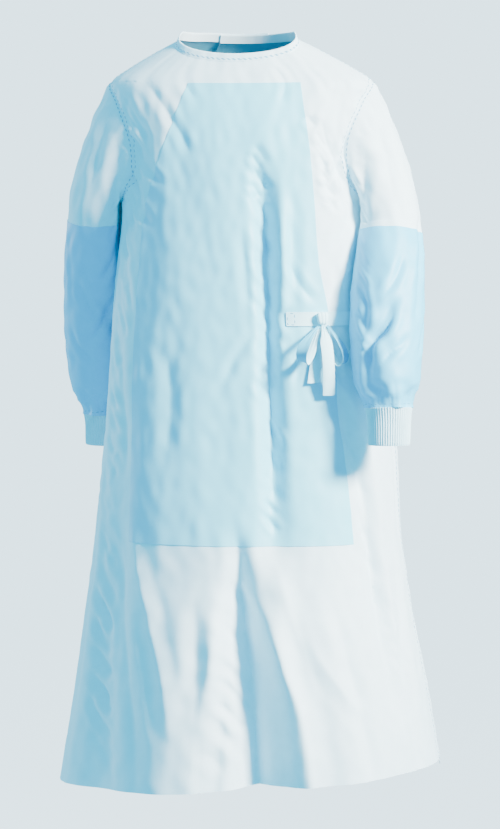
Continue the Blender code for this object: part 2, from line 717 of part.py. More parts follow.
def add_tail(tail, parent):
    """A free end of the tie, hanging from the knot and bowed out a little."""
    root = np.array([tail.root_x, tail.root_y, TIE_ROOT_Z])
    end = np.array([tail.end_x, tail.end_y, TIE_ROOT_Z - tail.length])
    path, widths = [], []
    for step in range(TAIL_STEPS + 1):
        share = step / TAIL_STEPS
        bow = np.array([0.0, -tail.sag * sin(pi * share), 0.0])
        path.append(root + (end - root) * share + bow)
        widths.append(tie_width(share))
    add_ribbon(tail.name, path, [1.0, 0.0, 0.0], widths, parent)


def add_knot(parent):
    knot = bpy.data.meshes.new("tie_knot")
    shape = bmesh.new()
    bmesh.ops.create_cube(shape, size=1.0)
    bmesh.ops.scale(shape, vec=KNOT_SIZE, verts=shape.verts)
    bmesh.ops.translate(shape, vec=(0, -KNOT_SIZE[1] / 2, 0), verts=shape.verts)
    bmesh.ops.bevel(shape, geom=shape.edges[:], offset=KNOT_BEVEL, segments=2, profile=0.5,
                    affect="EDGES")
    shape.to_mesh(knot)
    shape.free()
    knot.shade_smooth()
    add_mesh("tie_knot", knot, parent, "tie_tape")


def add_bow(parent):
    """Knot, two loops and two free ends, placed where the two lengths of the belt meet."""
    angle = belt_angle(BOW_X)
    middle_z = (BELT_TOP_Z + BELT_BOTTOM_Z) / 2
    seat = body_surface(np.array(angle), np.array(middle_z), BELT_OUT + TAPE + SEAM)
    beside = body_cloth(angle + BOW_TURN, middle_z) - body_cloth(angle - BOW_TURN, middle_z)
    above = body_cloth(angle, middle_z) - body_cloth(angle, middle_z - BOW_REACH)
    inwards, up = unit(np.cross(above, beside)), unit(above)
    turned = Matrix(np.stack([np.cross(inwards, up), inwards, up], axis=1).tolist())
    frame = bpy.data.objects.new("bow_frame", None)
    frame.matrix_world = Matrix.Translation(Vector(seat)) @ turned.to_4x4()
    frame.parent = parent
    bpy.context.scene.collection.objects.link(frame)
    add_knot(frame)
    for loop in LOOPS:
        add_loop(loop, frame)
    for tail in TAILS:
        add_tail(tail, frame)


def add_neck_tab(parent):
    """Hook tape sewn near the outer back panel's neck, reaching past its edge."""
    rows = range(TAB_ROWS[0], TAB_ROWS[1] + 1)
    columns = slice(TAB_COLUMNS[0], TAB_COLUMNS[1] + 1)
    add_body_piece("neck_tab", back_angles, rows, columns, LAP_OUT + SEAM, TAPE, parent,
                   "hook_tape")


def main():
    for obj in list(bpy.data.objects):
        bpy.data.objects.remove(obj)
    gown = bpy.data.objects.new("gown", None)
    bpy.context.scene.collection.objects.link(gown)
    add_panels(gown)
    add_collar(gown)
    arms = (("left", LEFT_ARM, LEFT_SLEEVE_FOLDS), ("right", RIGHT_ARM, RIGHT_SLEEVE_FOLDS))
    for name, stations, folds in arms:
        add_sleeve(name, stations, folds, gown)
        add_cuff(name, stations, gown)
    add_belt(gown)
    add_bow(gown)
    add_neck_tab(gown)


main()
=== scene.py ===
"""Looks of the surgical gown: its cloth and creases, reinforcements, knit, ties and stitching.

Lengths are in metres and +Z is up. The front faces -Y, so the gown's own left side is at +X.
Angles round the body start at the gown's left side and turn through the back. Turns round a
sleeve start outside it: 90 degrees is behind, 180 inside and 270 in front.
"""

from collections import namedtuple
from math import ceil, cos, pi, radians, sin

import bpy
import numpy as np
from mathutils import Matrix, Vector


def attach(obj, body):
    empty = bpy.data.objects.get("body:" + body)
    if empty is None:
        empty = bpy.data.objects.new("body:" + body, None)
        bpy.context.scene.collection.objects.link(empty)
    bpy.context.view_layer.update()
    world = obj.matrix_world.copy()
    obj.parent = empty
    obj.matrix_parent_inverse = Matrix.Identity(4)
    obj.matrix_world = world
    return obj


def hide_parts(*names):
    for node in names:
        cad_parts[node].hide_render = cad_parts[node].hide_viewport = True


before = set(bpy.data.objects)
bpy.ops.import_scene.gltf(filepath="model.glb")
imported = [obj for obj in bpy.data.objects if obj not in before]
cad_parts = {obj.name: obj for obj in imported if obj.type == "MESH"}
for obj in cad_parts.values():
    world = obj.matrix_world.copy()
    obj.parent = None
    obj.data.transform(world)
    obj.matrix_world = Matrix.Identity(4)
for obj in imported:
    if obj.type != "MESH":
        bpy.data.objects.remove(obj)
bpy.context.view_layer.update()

# Cloth thicknesses and how far each layer lies outside the body's surface
CLOTH = 0.0007
LAYER_GAP = 0.0002
PATCH_CLOTH = 0.0006
BAND_WALL = 0.0020
CUFF_WALL = 0.0022
TAPE = 0.0010
BELT_OUT = 0.00175
LAP_OUT = 0.0026
TAB_OUT = 0.0029
TAB_CLOTH = 0.0011
SEAM = 0.0003

# Heights of the main lines
NECK_SIDE_Z = -0.010
NECK_FRONT_Z = -0.048
NECK_BACK_Z = -0.014
SHOULDER_Z = -0.078
SHOULDER_DIP = 0.005
ARMPIT_Z = -0.275
BELT_TOP_Z = -0.4500
BELT_BOTTOM_Z = -0.4730
PATCH_BOTTOM_Z = -0.824
HEM_Z = -1.211
HEM_TILT = 0.0195
HEM_TILT_START_Z = -0.88

# The collar band
BAND_HEIGHT = 0.015
BAND_LEAN = 0.42
BAND_PROUD = 0.0004
BAND_STEPS = 10
BAND_ROUND = 0.12
BAND_RIM = 0.15
BAND_STITCH_SHARES = (0.22, 0.34)

# Half of each armhole's width, as an angle of the body's section
ARMHOLE_FRONT = radians(35)
ARMHOLE_BACK = radians(30)
ARMHOLE_SKEW = 0.16

# Free edges of the two back panels, and where the outer one lifts over the inner
OUTER_EDGE = radians(65)
INNER_EDGE = radians(112)
LIFT_START = radians(150)
LIFT_END = radians(120)

# Where the front reinforcement's edges lie across the gown at each height
Edge = namedtuple("Edge", "z right_x left_x")
PATCH_EDGES = (
    Edge(-0.824, -0.172, 0.188),
    Edge(-0.600, -0.164, 0.160),
    Edge(-0.453, -0.158, 0.143),
    Edge(-0.370, -0.152, 0.128),
    Edge(-0.275, -0.143, 0.120),
    Edge(-0.190, -0.118, 0.113),
    Edge(-0.078, -0.081, 0.098),
)

# Rows of the body's grid, and how finely its cloth is divided
YOKE_ROWS = 4
ARMHOLE_ROWS = 10
YOKE_STEPS = 4
ARMHOLE_STEPS = 8
ROW_SPACING = 0.0058
MARGIN_COLUMNS = 38
PATCH_COLUMNS = 86
BACK_COLUMNS = (34, 30, 38)
LOWER_ROWS_Z = (
    -0.315, -0.360, -0.405, BELT_TOP_Z, BELT_BOTTOM_Z, -0.525, -0.580, -0.640, -0.700,
    -0.762, PATCH_BOTTOM_Z, -0.890, -0.965, -1.040, -1.110, -1.165, HEM_Z,
)

Section = namedtuple("Section", "z half_width front back centre_x boxiness")
SECTIONS = (
    Section(-1.250, 0.3230, 0.255, 0.277, 0.0098, 0.02),
    Section(-1.211, 0.3160, 0.250, 0.270, 0.0095, 0.02),
    Section(-1.120, 0.3005, 0.239, 0.256, 0.0088, 0.02),
    Section(-1.040, 0.2870, 0.228, 0.243, 0.0075, 0.02),
    Section(-0.960, 0.2725, 0.217, 0.230, 0.0050, 0.03),
    Section(-0.900, 0.2630, 0.207, 0.220, 0.0045, 0.03),
    Section(-0.824, 0.2530, 0.197, 0.208, 0.0040, 0.03),
    Section(-0.750, 0.2470, 0.188, 0.197, 0.0050, 0.04),
    Section(-0.670, 0.2410, 0.178, 0.185, 0.0060, 0.04),
    Section(-0.570, 0.2315, 0.167, 0.168, 0.0050, 0.05),
    Section(-0.460, 0.2220, 0.157, 0.153, 0.0040, 0.05),
    Section(-0.360, 0.2115, 0.150, 0.147, 0.0020, 0.05),
    Section(-0.275, 0.2035, 0.143, 0.144, 0.0000, 0.05),
    Section(-0.200, 0.2090, 0.134, 0.140, -0.0030, 0.04),
    Section(-0.145, 0.2140, 0.122, 0.132, -0.0050, 0.03),
    Section(-0.110, 0.2170, 0.110, 0.124, -0.0065, 0.02),
    Section(-0.078, 0.2150, 0.095, 0.112, -0.0075, 0.01),
    Section(-0.055, 0.1810, 0.081, 0.102, -0.0085, 0.00),
    Section(-0.035, 0.1460, 0.068, 0.088, -0.0100, 0.00),
    Section(-0.020, 0.1180, 0.058, 0.074, -0.0110, 0.00),
    Section(-0.010, 0.0980, 0.050, 0.062, -0.0120, 0.00),
    Section(0.000, 0.0780, 0.042, 0.050, -0.0120, 0.00),
)

# Large soft troughs and ridges that fall down the body. Angles are in degrees.
Fold = namedtuple("Fold", "top_z bottom_z top_angle bottom_angle top_width bottom_width "
                          "top_depth bottom_depth")
BODY_FOLDS = (
    Fold(-0.17, -0.90, -78, -74, 0.024, 0.030, -0.010, -0.014),
    Fold(-0.80, -1.30, -89, -82, 0.018, 0.062, -0.008, -0.050),
    Fold(-0.86, -1.30, -108, -110, 0.030, 0.060, 0.004, 0.020),
    Fold(-0.55, -1.30, -145, -138, 0.035, 0.060, -0.005, -0.026),
    Fold(-0.88, -1.30, -62, -54, 0.030, 0.070, 0.004, 0.018),
    Fold(-0.52, -1.15, -47, -30, 0.018, 0.026, -0.006, -0.009),
    Fold(-0.12, -0.34, -48, -24, 0.018, 0.022, -0.004, -0.009),
    Fold(-0.12, -0.36, -132, -158, 0.018, 0.024, -0.004, -0.009),
    Fold(-0.62, -1.30, 36, 40, 0.040, 0.065, -0.006, -0.030),
    Fold(-0.62, -1.30, 140, 136, 0.040, 0.065, -0.006, -0.032),
    Fold(-0.30, -0.80, 30, 34, 0.026, 0.034, -0.006, -0.010),
    Fold(-0.30, -0.80, 148, 146, 0.026, 0.034, -0.006, -0.010),
)
FOLD_FADE = 0.10

# Creases placed one by one. Points are (angle in degrees, height); a negative depth is a trough.
Crease = namedtuple("Crease", "width depth points")
BODY_CREASES = (
    Crease(0.012, -0.0130,
           ((-78, -0.170), (-76, -0.351), (-76, -0.511), (-76, -0.671), (-74, -0.840))),
    Crease(0.010, 0.0075, ((-69, -0.220), (-70, -0.360), (-72, -0.500), (-71, -0.640))),
    Crease(0.009, -0.0040, ((-64, -0.270), (-66, -0.360), (-69, -0.479), (-73, -0.660))),
    Crease(0.008, -0.0022, ((-88, -0.300), (-86, -0.380), (-84, -0.470))),
    Crease(0.024, -0.0250,
           ((-88, -0.860), (-86, -0.960), (-84, -1.060), (-82, -1.300), (-82, -1.500))),
    Crease(0.012, -0.0085, ((-89, -0.780), (-88, -0.860), (-87, -0.950), (-86, -1.050))),
    Crease(0.010, -0.0060, ((-90, -0.845), (-92, -0.960), (-94, -1.080), (-96, -1.350))),
    Crease(0.013, -0.0060, ((-84, -0.909), (-79, -1.020), (-75, -1.120), (-72, -1.400))),
    Crease(0.018, 0.0140, ((-80, -0.900), (-74, -1.020), (-69, -1.120), (-66, -1.400))),
    Crease(0.014, 0.0060, ((-93, -0.900), (-97, -1.020), (-101, -1.120), (-103, -1.400))),
    Crease(0.012, 0.0045,
           ((-135, -0.757), (-128, -0.860), (-120, -0.945), (-112, -1.060), (-107, -1.180))),
    Crease(0.014, -0.0060,
           ((-146, -0.760), (-138, -0.890), (-131, -1.000), (-124, -1.120), (-118, -1.250))),
    Crease(0.012, -0.0038, ((-104, -0.870), (-102, -1.000), (-101, -1.120), (-99, -1.250))),
    Crease(0.011, -0.0088,
           ((-53, -0.530), (-47, -0.625), (-39, -0.700), (-34, -0.820), (-33, -0.960), (-34, -1.060))),
    Crease(0.012, 0.0036, ((-76, -0.830), (-71, -0.920), (-67, -0.990), (-62, -1.110))),
    Crease(0.010, 0.0032, ((-66, -0.960), (-60, -1.020), (-53, -1.070), (-45, -1.110))),
    Crease(0.012, -0.0045, ((-16, -0.820), (-20, -0.950), (-24, -1.081), (-26, -1.250))),
    Crease(0.010, -0.0040, ((-55, -0.900), (-51, -1.020), (-48, -1.140), (-47, -1.250))),
    Crease(0.007, -0.0050, ((-31, -0.140), (-36, -0.190), (-42, -0.230), (-49, -0.270))),
    Crease(0.007, -0.0042, ((-52, -0.130), (-47, -0.180), (-40, -0.220), (-32, -0.262))),
    Crease(0.008, -0.0036, ((-30, -0.275), (-37, -0.315), (-46, -0.355), (-56, -0.385))),
    Crease(0.007, -0.0030, ((-26, -0.310), (-30, -0.360), (-38, -0.415))),
    Crease(0.008, -0.0052, ((-155, -0.190), (-149, -0.235), (-139, -0.285), (-128, -0.320))),
    Crease(0.007, -0.0040, ((-148, -0.150), (-140, -0.190), (-131, -0.225), (-122, -0.250))),
    Crease(0.008, -0.0038, ((-160, -0.290), (-153, -0.350), (-144, -0.420), (-136, -0.480))),
    Crease(0.009, -0.0034, ((-150, -0.440), (-146, -0.540), (-142, -0.650), (-139, -0.730))),
    Crease(0.007, -0.0024, ((-136, -0.062), (-124, -0.110), (-114, -0.165), (-109, -0.205))),
    Crease(0.007, -0.0028, ((-148, -0.095), (-138, -0.140), (-130, -0.190))),
    Crease(0.006, -0.0018, ((-46, -0.026), (-51, -0.065), (-47, -0.110))),
    Crease(0.006, -0.0016, ((-118, -0.040), (-112, -0.080), (-106, -0.115))),
    Crease(0.006, -0.0018, ((-70, -0.050), (-68, -0.085), (-70, -0.120))),
    Crease(0.006, -0.0030, ((-57, -0.436), (-63, -0.405), (-68, -0.365))),
    Crease(0.006, -0.0026, ((-49, -0.440), (-46, -0.405), (-45, -0.370))),
    Crease(0.006, -0.0030, ((-58, -0.488), (-64, -0.525), (-67, -0.575))),
    Crease(0.006, -0.0028, ((-47, -0.486), (-43, -0.530), (-42, -0.580))),
    Crease(0.007, -0.0030, ((-80, -0.470), (-90, -0.520), (-97, -0.580))),
    Crease(0.010, -0.0030, ((-120, -0.500), (-117, -0.600), (-118, -0.710))),
    Crease(0.010, -0.0060, ((42, -0.140), (48, -0.240), (52, -0.360), (53, -0.450))),
    Crease(0.008, -0.0048, ((33, -0.190), (42, -0.250), (54, -0.300), (62, -0.330))),
    Crease(0.009, -0.0050, ((147, -0.170), (139, -0.235), (128, -0.290), (120, -0.320))),
    Crease(0.010, -0.0048, ((138, -0.130), (131, -0.240), (129, -0.360), (130, -0.470))),
    Crease(0.012, -0.0070, ((88, -0.180), (84, -0.340), (86, -0.520), (83, -0.700), (85, -0.900))),
    Crease(0.010, -0.0042, ((102, -0.300), (106, -0.440), (104, -0.600), (108, -0.760))),
    Crease(0.015, -0.0110, ((92, -0.700), (96, -0.860), (99, -1.020), (100, -1.250))),
    Crease(0.014, -0.0095, ((72, -0.620), (70, -0.800), (66, -0.980), (64, -1.250))),
    Crease(0.013, -0.0080, ((122, -0.560), (119, -0.740), (117, -0.920), (118, -1.080))),
    Crease(0.012, -0.0060, ((158, -0.640), (156, -0.820), (152, -0.980), (150, -1.250))),
    Crease(0.012, -0.0060, ((18, -0.560), (20, -0.740), (24, -0.930), (25, -1.250))),
    Crease(0.010, 0.0046, ((56, -0.720), (54, -0.880), (52, -1.020), (51, -1.170))),
    Crease(0.010, 0.0044, ((110, -0.820), (109, -0.960), (108, -1.080), (109, -1.200))),
    Crease(0.007, -0.0024, ((60, -0.030), (66, -0.080), (70, -0.140))),
    Crease(0.007, -0.0024, ((122, -0.030), (116, -0.085), (113, -0.150))),
    Crease(0.010, -0.0060, ((4, -0.300), (2, -0.380), (-4, -0.440))),
    Crease(0.010, -0.0055, ((176, -0.310), (178, -0.400), (172, -0.520), (170, -0.640))),
    Crease(0.011, -0.0045, ((-172, -0.600), (-168, -0.780), (-164, -0.960), (-160, -1.250))),
    Crease(0.010, -0.0042, ((-8, -0.560), (-6, -0.700), (-8, -0.860))),
)

# Rows of short drag lines, from first to last. Each line runs on by run_angle and run_z
Drags = namedtuple("Drags", "first last count run_angle run_z width depth")
BODY_DRAGS = (
    Drags((-150, -0.100), (-156, -0.290), 11, 17, -0.062, 0.0063, -0.0036),
    Drags((-158, -0.310), (-160, -0.760), 24, 15, -0.056, 0.0066, -0.0038),
    Drags((-160, -0.780), (-150, -1.130), 17, 22, -0.095, 0.0088, -0.0056),
    Drags((-83, -0.165), (-81, -0.560), 19, 8, -0.046, 0.0058, -0.0038),
    Drags((-79, -0.600), (-78, -0.790), 7, 6, -0.040, 0.0054, -0.0034),
    Drags((-57, -0.130), (-46, -0.270), 8, 9, -0.036, 0.0057, -0.0036),
    Drags((-52, -0.500), (-44, -0.720), 12, 10, -0.052, 0.0066, -0.0026),
    Drags((-42, -0.740), (-30, -1.020), 8, 8, -0.062, 0.0072, -0.0024),
    Drags((-91, -0.860), (-99, -1.150), 13, 12, -0.072, 0.0078, -0.0046),
    Drags((34, -0.160), (40, -0.420), 9, 12, -0.050, 0.0069, -0.0024),
    Drags((148, -0.160), (142, -0.420), 9, -12, -0.050, 0.0069, -0.0024),
    Drags((74, -0.500), (70, -1.080), 15, 9, -0.080, 0.0087, -0.0030),
    Drags((136, -0.520), (140, -1.080), 15, -9, -0.080, 0.0087, -0.0030),
)
SLEEVE_DRAGS = (
    Drags((214, -0.240), (222, -0.500), 12, 26, -0.034, 0.0034, -0.0018),
    Drags((128, -0.250), (136, -0.500), 10, -24, -0.034, 0.0036, -0.0018),
)
DRAG_SHIFTS = (-1.5, 1.5)
DRAG_LENGTHS = (0.55, 1.15)
DRAG_BENDS = (0.35, 0.65)
DRAG_WIDTHS = (0.75, 1.3)
DRAG_DEPTHS = (0.45, 1.2)

# Creases of the sleeves, as (turn in degrees, height)
LEFT_SLEEVE_CREASES = (
    Crease(0.0062, -0.0075,
           ((292, -0.438), (276, -0.468), (254, -0.492), (243, -0.516), (236, -0.560))),
    Crease(0.0060, -0.0036, ((304, -0.352), (288, -0.394), (266, -0.428))),
    Crease(0.0055, -0.0036, ((318, -0.478), (300, -0.500), (280, -0.514), (262, -0.538))),
    Crease(0.0060, -0.0044, ((224, -0.392), (240, -0.440), (236, -0.492))),
    Crease(0.0060, -0.0030, ((352, -0.290), (342, -0.350), (330, -0.430), (326, -0.470))),
    Crease(0.0060, -0.0036, ((372, -0.440), (352, -0.488), (334, -0.524))),
    Crease(0.0065, -0.0052, ((104, -0.380), (84, -0.424), (60, -0.462), (38, -0.480))),
    Crease(0.0065, -0.0056, ((132, -0.424), (106, -0.470), (76, -0.500), (48, -0.514))),
    Crease(0.0055, -0.0040, ((40, -0.520), (74, -0.544), (108, -0.548))),
    Crease(0.0060, -0.0044, ((150, -0.340), (170, -0.390), (186, -0.450))),
    Crease(0.0070, -0.0046, ((288, -0.180), (268, -0.224), (242, -0.268), (222, -0.300))),
    Crease(0.0060, -0.0036, ((264, -0.160), (250, -0.205), (234, -0.245))),
    Crease(0.0070, -0.0024, ((318, -0.130), (306, -0.200), (292, -0.270))),
    Crease(0.0070, -0.0046, ((90, -0.170), (108, -0.225), (132, -0.275))),
    Crease(0.0065, -0.0034, ((64, -0.150), (82, -0.215), (100, -0.280), (110, -0.330))),
    Crease(0.0070, -0.0026, ((24, -0.140), (30, -0.220), (40, -0.300))),
    Crease(0.0055, 0.0022, ((332, -0.300), (322, -0.370), (312, -0.430))),
)
RIGHT_SLEEVE_CREASES = (
    Crease(0.0060, -0.0050, ((228, -0.430), (246, -0.460), (262, -0.490), (286, -0.512))),
    Crease(0.0060, -0.0038, ((300, -0.400), (280, -0.446), (254, -0.478))),
    Crease(0.0055, -0.0034, ((320, -0.480), (296, -0.520), (270, -0.546))),
    Crease(0.0060, -0.0040, ((222, -0.340), (240, -0.380), (262, -0.410))),
    Crease(0.0060, -0.0030, ((350, -0.300), (338, -0.370), (326, -0.440))),
    Crease(0.0060, -0.0036, ((368, -0.470), (346, -0.520), (324, -0.556))),
    Crease(0.0065, -0.0056, ((58, -0.370), (82, -0.420), (108, -0.456), (132, -0.476))),
    Crease(0.0065, -0.0050, ((40, -0.440), (70, -0.476), (100, -0.506), (128, -0.520))),
    Crease(0.0055, -0.0040, ((52, -0.548), (84, -0.572), (116, -0.580))),
    Crease(0.0060, -0.0040, ((170, -0.360), (186, -0.420), (196, -0.490))),
    Crease(0.0070, -0.0048, ((284, -0.170), (266, -0.215), (244, -0.258), (226, -0.290))),
    Crease(0.0060, -0.0034, ((258, -0.150), (246, -0.195), (232, -0.235))),
    Crease(0.0070, -0.0026, ((316, -0.120), (300, -0.190), (286, -0.262))),
    Crease(0.0070, -0.0044, ((88, -0.180), (106, -0.230), (128, -0.270))),
    Crease(0.0065, -0.0034, ((60, -0.140), (78, -0.210), (94, -0.290))),
    Crease(0.0070, -0.0026, ((20, -0.150), (28, -0.240), (36, -0.320))),
    Crease(0.0055, 0.0022, ((336, -0.310), (326, -0.380), (318, -0.450))),
)

# How creases are pressed in: their shape across and along, and the fields that hold them
CREASE_STEPS = 28
CREASE_REACH = 4.2
CREASE_SHARPNESS = 1.3
CREASE_FADE = 0.28
FLANK_HEIGHT = 0.32
FLANK_PLACE = 2.1
FLANK_WIDTH = 0.95
FIELD_COLUMNS = 1440
FIELD_STEP = 0.002
FIELD_TOP = 0.012
FIELD_BOTTOM = -1.262
SLEEVE_FIELD_TOP = -0.060
SLEEVE_FIELD_BOTTOM = -0.700
SLEEVE_RADIUS = 0.058
BODY_RADIUS = 0.225
ROW_MARGIN = 1.001
NORMAL_TURN = 0.002
NORMAL_DROP = 0.002

# Small random waves of the cloth. Stretch is how much longer they are down it than across
Waves = namedtuple("Waves", "length spread stretch height seed")
SOFT_WAVES = Waves(0.085, 0.35, 3.6, 0.0006, 11)
CRUMPLE = Waves(0.030, 0.40, 1.6, 0.00026, 12)
LEFT_SLEEVE_WAVES = Waves(0.034, 0.40, 1.4, 0.00050, 21)
RIGHT_SLEEVE_WAVES = LEFT_SLEEVE_WAVES._replace(seed=22)
LOWEST_FREQUENCY = 1e-6

# Puckers and drag lines lie at uneven steps. A sleeve's seeds come from its waves
UNEVEN_STEP = (0.1, 0.9)
SEAM_SEED = 31
DRAG_SEED = 41
SLEEVE_DRAG_SEED_STEP = 20

# Seams, and the puckers beside them, which run off by run_angle and run_z
SEAM_WIDTH = 0.0034
SEAM_DEPTH = -0.0019
SEAM_FADE = 0.01
SEAM_POINTS = 25
SEAM_MIDDLE_Z = -0.6
PUCKER_DEPTH = -0.0014
PUCKER_WIDTH = 0.0045
PUCKER_LENGTHS = (0.4, 1.0)
PUCKER_LEANS = (-25, 25)
PUCKER_WIDTHS = (0.8, 1.3)
PUCKER_DEPTHS = (0.5, 1.3)
Puckers = namedtuple("Puckers", "count run_angle run_z size")
SIDE_PUCKERS = Puckers(46, 6, 0.012, 1.0)
ARMHOLE_PUCKERS = Puckers(30, 8, 0.022, 1.3)
SLEEVE_PUCKERS = Puckers(30, 6, -0.045, 1.3)
CUFF_GATHERS = Puckers(26, 8, 0.060, 3.4)
CUFF_GATHER_DROP = 0.004
BELT_GATHERS = Puckers(24, 3, 0.10, 1.7)
LOWER_BELT_GATHERS = Puckers(24, 3, -0.13, 1.8)
BELT_GATHER_ANGLES = (-40, 60)

# Stitches
STITCH_LENGTH = 0.0054
STITCH_PITCH = 0.0088
STITCH_WIDTH = 0.0008
STITCH_INSET = 0.0050
STITCH_RISE = 0.0001
STITCH_FLATNESS = 0.6
STITCH_TAPER = (0.45, 1.0, 0.45)
SIDE_STITCHES_Z = (ARMPIT_Z - 0.004, HEM_Z + 0.010)
SHOULDER_STITCHES_Z = (-0.026, SHOULDER_Z + 0.002)
LAP_STITCHES_Z = (NECK_BACK_Z - 0.006, HEM_Z + 0.010)
LAP_HEM = 0.0110
SEAM_LINE_POINTS = 160
ARMHOLE_LINE_POINTS = 260
LAP_LINE_POINTS = 240
SHARP_ANGLE = radians(60)

# Sleeves: stations down the middle of each arm, from just below the armpit to the cuff
Station = namedtuple("Station", "x y z half_width half_depth")
LEFT_ARM = (
    Station(0.2375, -0.036, -0.3120, 0.0520, 0.0650),
    Station(0.2400, -0.065, -0.3600, 0.0570, 0.0660),
    Station(0.2418, -0.102, -0.4350, 0.0590, 0.0650),
    Station(0.2430, -0.131, -0.5150, 0.0570, 0.0620),
    Station(0.2455, -0.147, -0.5680, 0.0500, 0.0550),
    Station(0.2490, -0.156, -0.6020, 0.0385, 0.0400),
    Station(0.2506, -0.168, -0.6610, 0.0335, 0.0345),
)
RIGHT_ARM = (
    Station(-0.2440, 0.009, -0.2890, 0.0520, 0.0650),
    Station(-0.2505, 0.042, -0.3640, 0.0570, 0.0660),
    Station(-0.2560, 0.072, -0.4450, 0.0590, 0.0650),
    Station(-0.2580, 0.098, -0.5300, 0.0570, 0.0620),
    Station(-0.2560, 0.112, -0.5950, 0.0500, 0.0550),
    Station(-0.2530, 0.119, -0.6330, 0.0385, 0.0400),
    Station(-0.2560, 0.129, -0.6870, 0.0335, 0.0345),
)
RING_LEAN = 0.35
CAP_STEPS = tuple(np.linspace(0, 1, 30, endpoint=False))
SLEEVE_SHARES = tuple(np.linspace(0, 1, 62))
SLEEVE_PATCH_SHARE = 0.055
CAP_HEADING = (0.62, 0.20, -0.53)
CAP_SPREAD = 0.10
CAP_LEAVES_BY = 0.30
CAP_ARRIVES_BY = 0.90
CAP_CLEARS_BY = 0.30
ARM_STEP = 0.004
SLEEVE_CLEARANCE = 0.0075
SLEEVE_SOFTNESS = 0.0030
GATHER_START = 0.80
GATHER_DEPTH = 0.0022
GATHER_WAVES = 5
LEFT_SLEEVE_FOLDS = (
    Fold(-0.425, -0.520, 292, 240, 0.012, 0.016, -0.008, -0.010),
    Fold(-0.500, -0.600, 243, 240, 0.016, 0.018, -0.009, -0.006),
    Fold(-0.410, -0.500, 70, 120, 0.014, 0.018, -0.006, -0.008),
)
RIGHT_SLEEVE_FOLDS = (
    Fold(-0.420, -0.510, 262, 218, 0.013, 0.016, -0.007, -0.009),
    Fold(-0.400, -0.510, 60, 105, 0.014, 0.018, -0.006, -0.009),
)
SLEEVE_FOLD_FADE = 0.030
Arm = namedtuple("Arm", "name stations folds creases waves")
ARMS = (
    Arm("left", LEFT_ARM, LEFT_SLEEVE_FOLDS, LEFT_SLEEVE_CREASES, LEFT_SLEEVE_WAVES),
    Arm("right", RIGHT_ARM, RIGHT_SLEEVE_FOLDS, RIGHT_SLEEVE_CREASES, RIGHT_SLEEVE_WAVES),
)

# Knitted cuffs
CUFF_RIBS = 54
RIB_POINTS = 6
CUFF_ROWS = 26
RIB_DEPTH = 0.0008
CUFF_ROUND = 0.06
CUFF_RIM = 0.2

# Waist tie and its bow
BELT_FRONT_X = 0.0815
BOW_X = 0.131
BELT_FRONT_COLUMNS = 26
BELT_BACK_COLUMN = 41
BELT_ROWS = 8
BELT_SIDE_COLUMNS = 260
BELT_SINKS = 0.0010
BELT_LIFT_START = radians(38)
BELT_LIFT_END = radians(57)
BELT_CINCH = -0.0012
BELT_CINCH_REACH = 0.016
BELT_CINCH_POWER = 4
BELT_CINCH_FLATTENS = 0.75
BELT_CINCH_ANGLES = (-75, 84)
BELT_CINCH_FADE = 6
YOKE_FADE = 0.06
BOX_INSET = 0.0022
BOX_FRONT_INSETS = 6
BOX_BACK_INSETS = 7
BOX_POINTS = 12
KNOT_SIZE = (0.018, 0.0125, 0.021)
KNOT_COLUMNS = 72
KNOT_RINGS = 31
KNOT_FLATNESS = 5
KNOT_END_POWER = 0.25
KNOT_BARREL = 0.72
KNOT_SQUARENESS = 3
KNOT_SLANT = 0.0010
KnotCrease = namedtuple("KnotCrease", "depth place width")
KNOT_CREASES = (KnotCrease(0.13, 0.30, 0.10), KnotCrease(0.10, -0.36, 0.11))
TIE_WIDTH = 0.020
TIE_ROOT_WIDTH = 0.0064
TIE_OPENS_OVER = 0.28
TIE_ROOT_Z = -KNOT_SIZE[2] / 2 - SEAM
BOW_REACH = 0.14
BOW_TURN = 0.02
TAPE_COLUMNS = 10
TAPE_WAVE = 0.0009
TAPE_WAVES = 2.5
TAPE_CUP = 0.0010
TAPE_CUP_CURVE = 6
TAPE_RIM = 0.35
TAPE_RIM_POWER = 8
Loop = namedtuple("Loop", "name ahead_x ahead_z front_height")
LOOPS = (
    Loop("tie_loop_right", -0.52, -0.86, 0.019),
    Loop("tie_loop_left", 0.27, -0.96, 0.013),
)
LOOP_LENGTH = 0.066
LOOP_BACK = 0.007
LOOP_TILT = radians(42)
LOOP_STAND = 0.011
LOOP_ROOT_X = 0.0062
LOOP_ROOT_Y = -0.0068
LOOP_ROOT_GAP = 0.0032
LOOP_STEPS = 72
Tail = namedtuple("Tail", "name root_x root_y end_x end_y length sag")
TAILS = (
    Tail("tie_end_front", 0.0000, -0.0092, 0.002, -0.0120, 0.113, 0.0120),
    Tail("tie_end_back", -0.0015, -0.0026, -0.020, -0.0030, 0.092, 0.0005),
)
TAIL_STEPS = 46

# Hook tape at the back of the neck
TAB_ROWS = (1, 3)
TAB_STEPS = 6
TAB_START_SHARE = 6 / 8
TAB_END_SHARE = 2 / 7
TAB_COLUMNS = 44

# Where the camera stands
VIEW_AZIMUTH = radians(7)
VIEW_ELEVATION = radians(4)
VIEW_DISTANCE = 6.0
VIEW_TARGET = Vector((0.0, 0.0, -0.62))
PICTURE_WIDTH = 500
PICTURE_HEIGHT = 829
TARGET_PIXEL = (246, 411)
PIXELS_PER_METRE = 606
SENSOR_WIDTH = 36
VIEW_END = 60

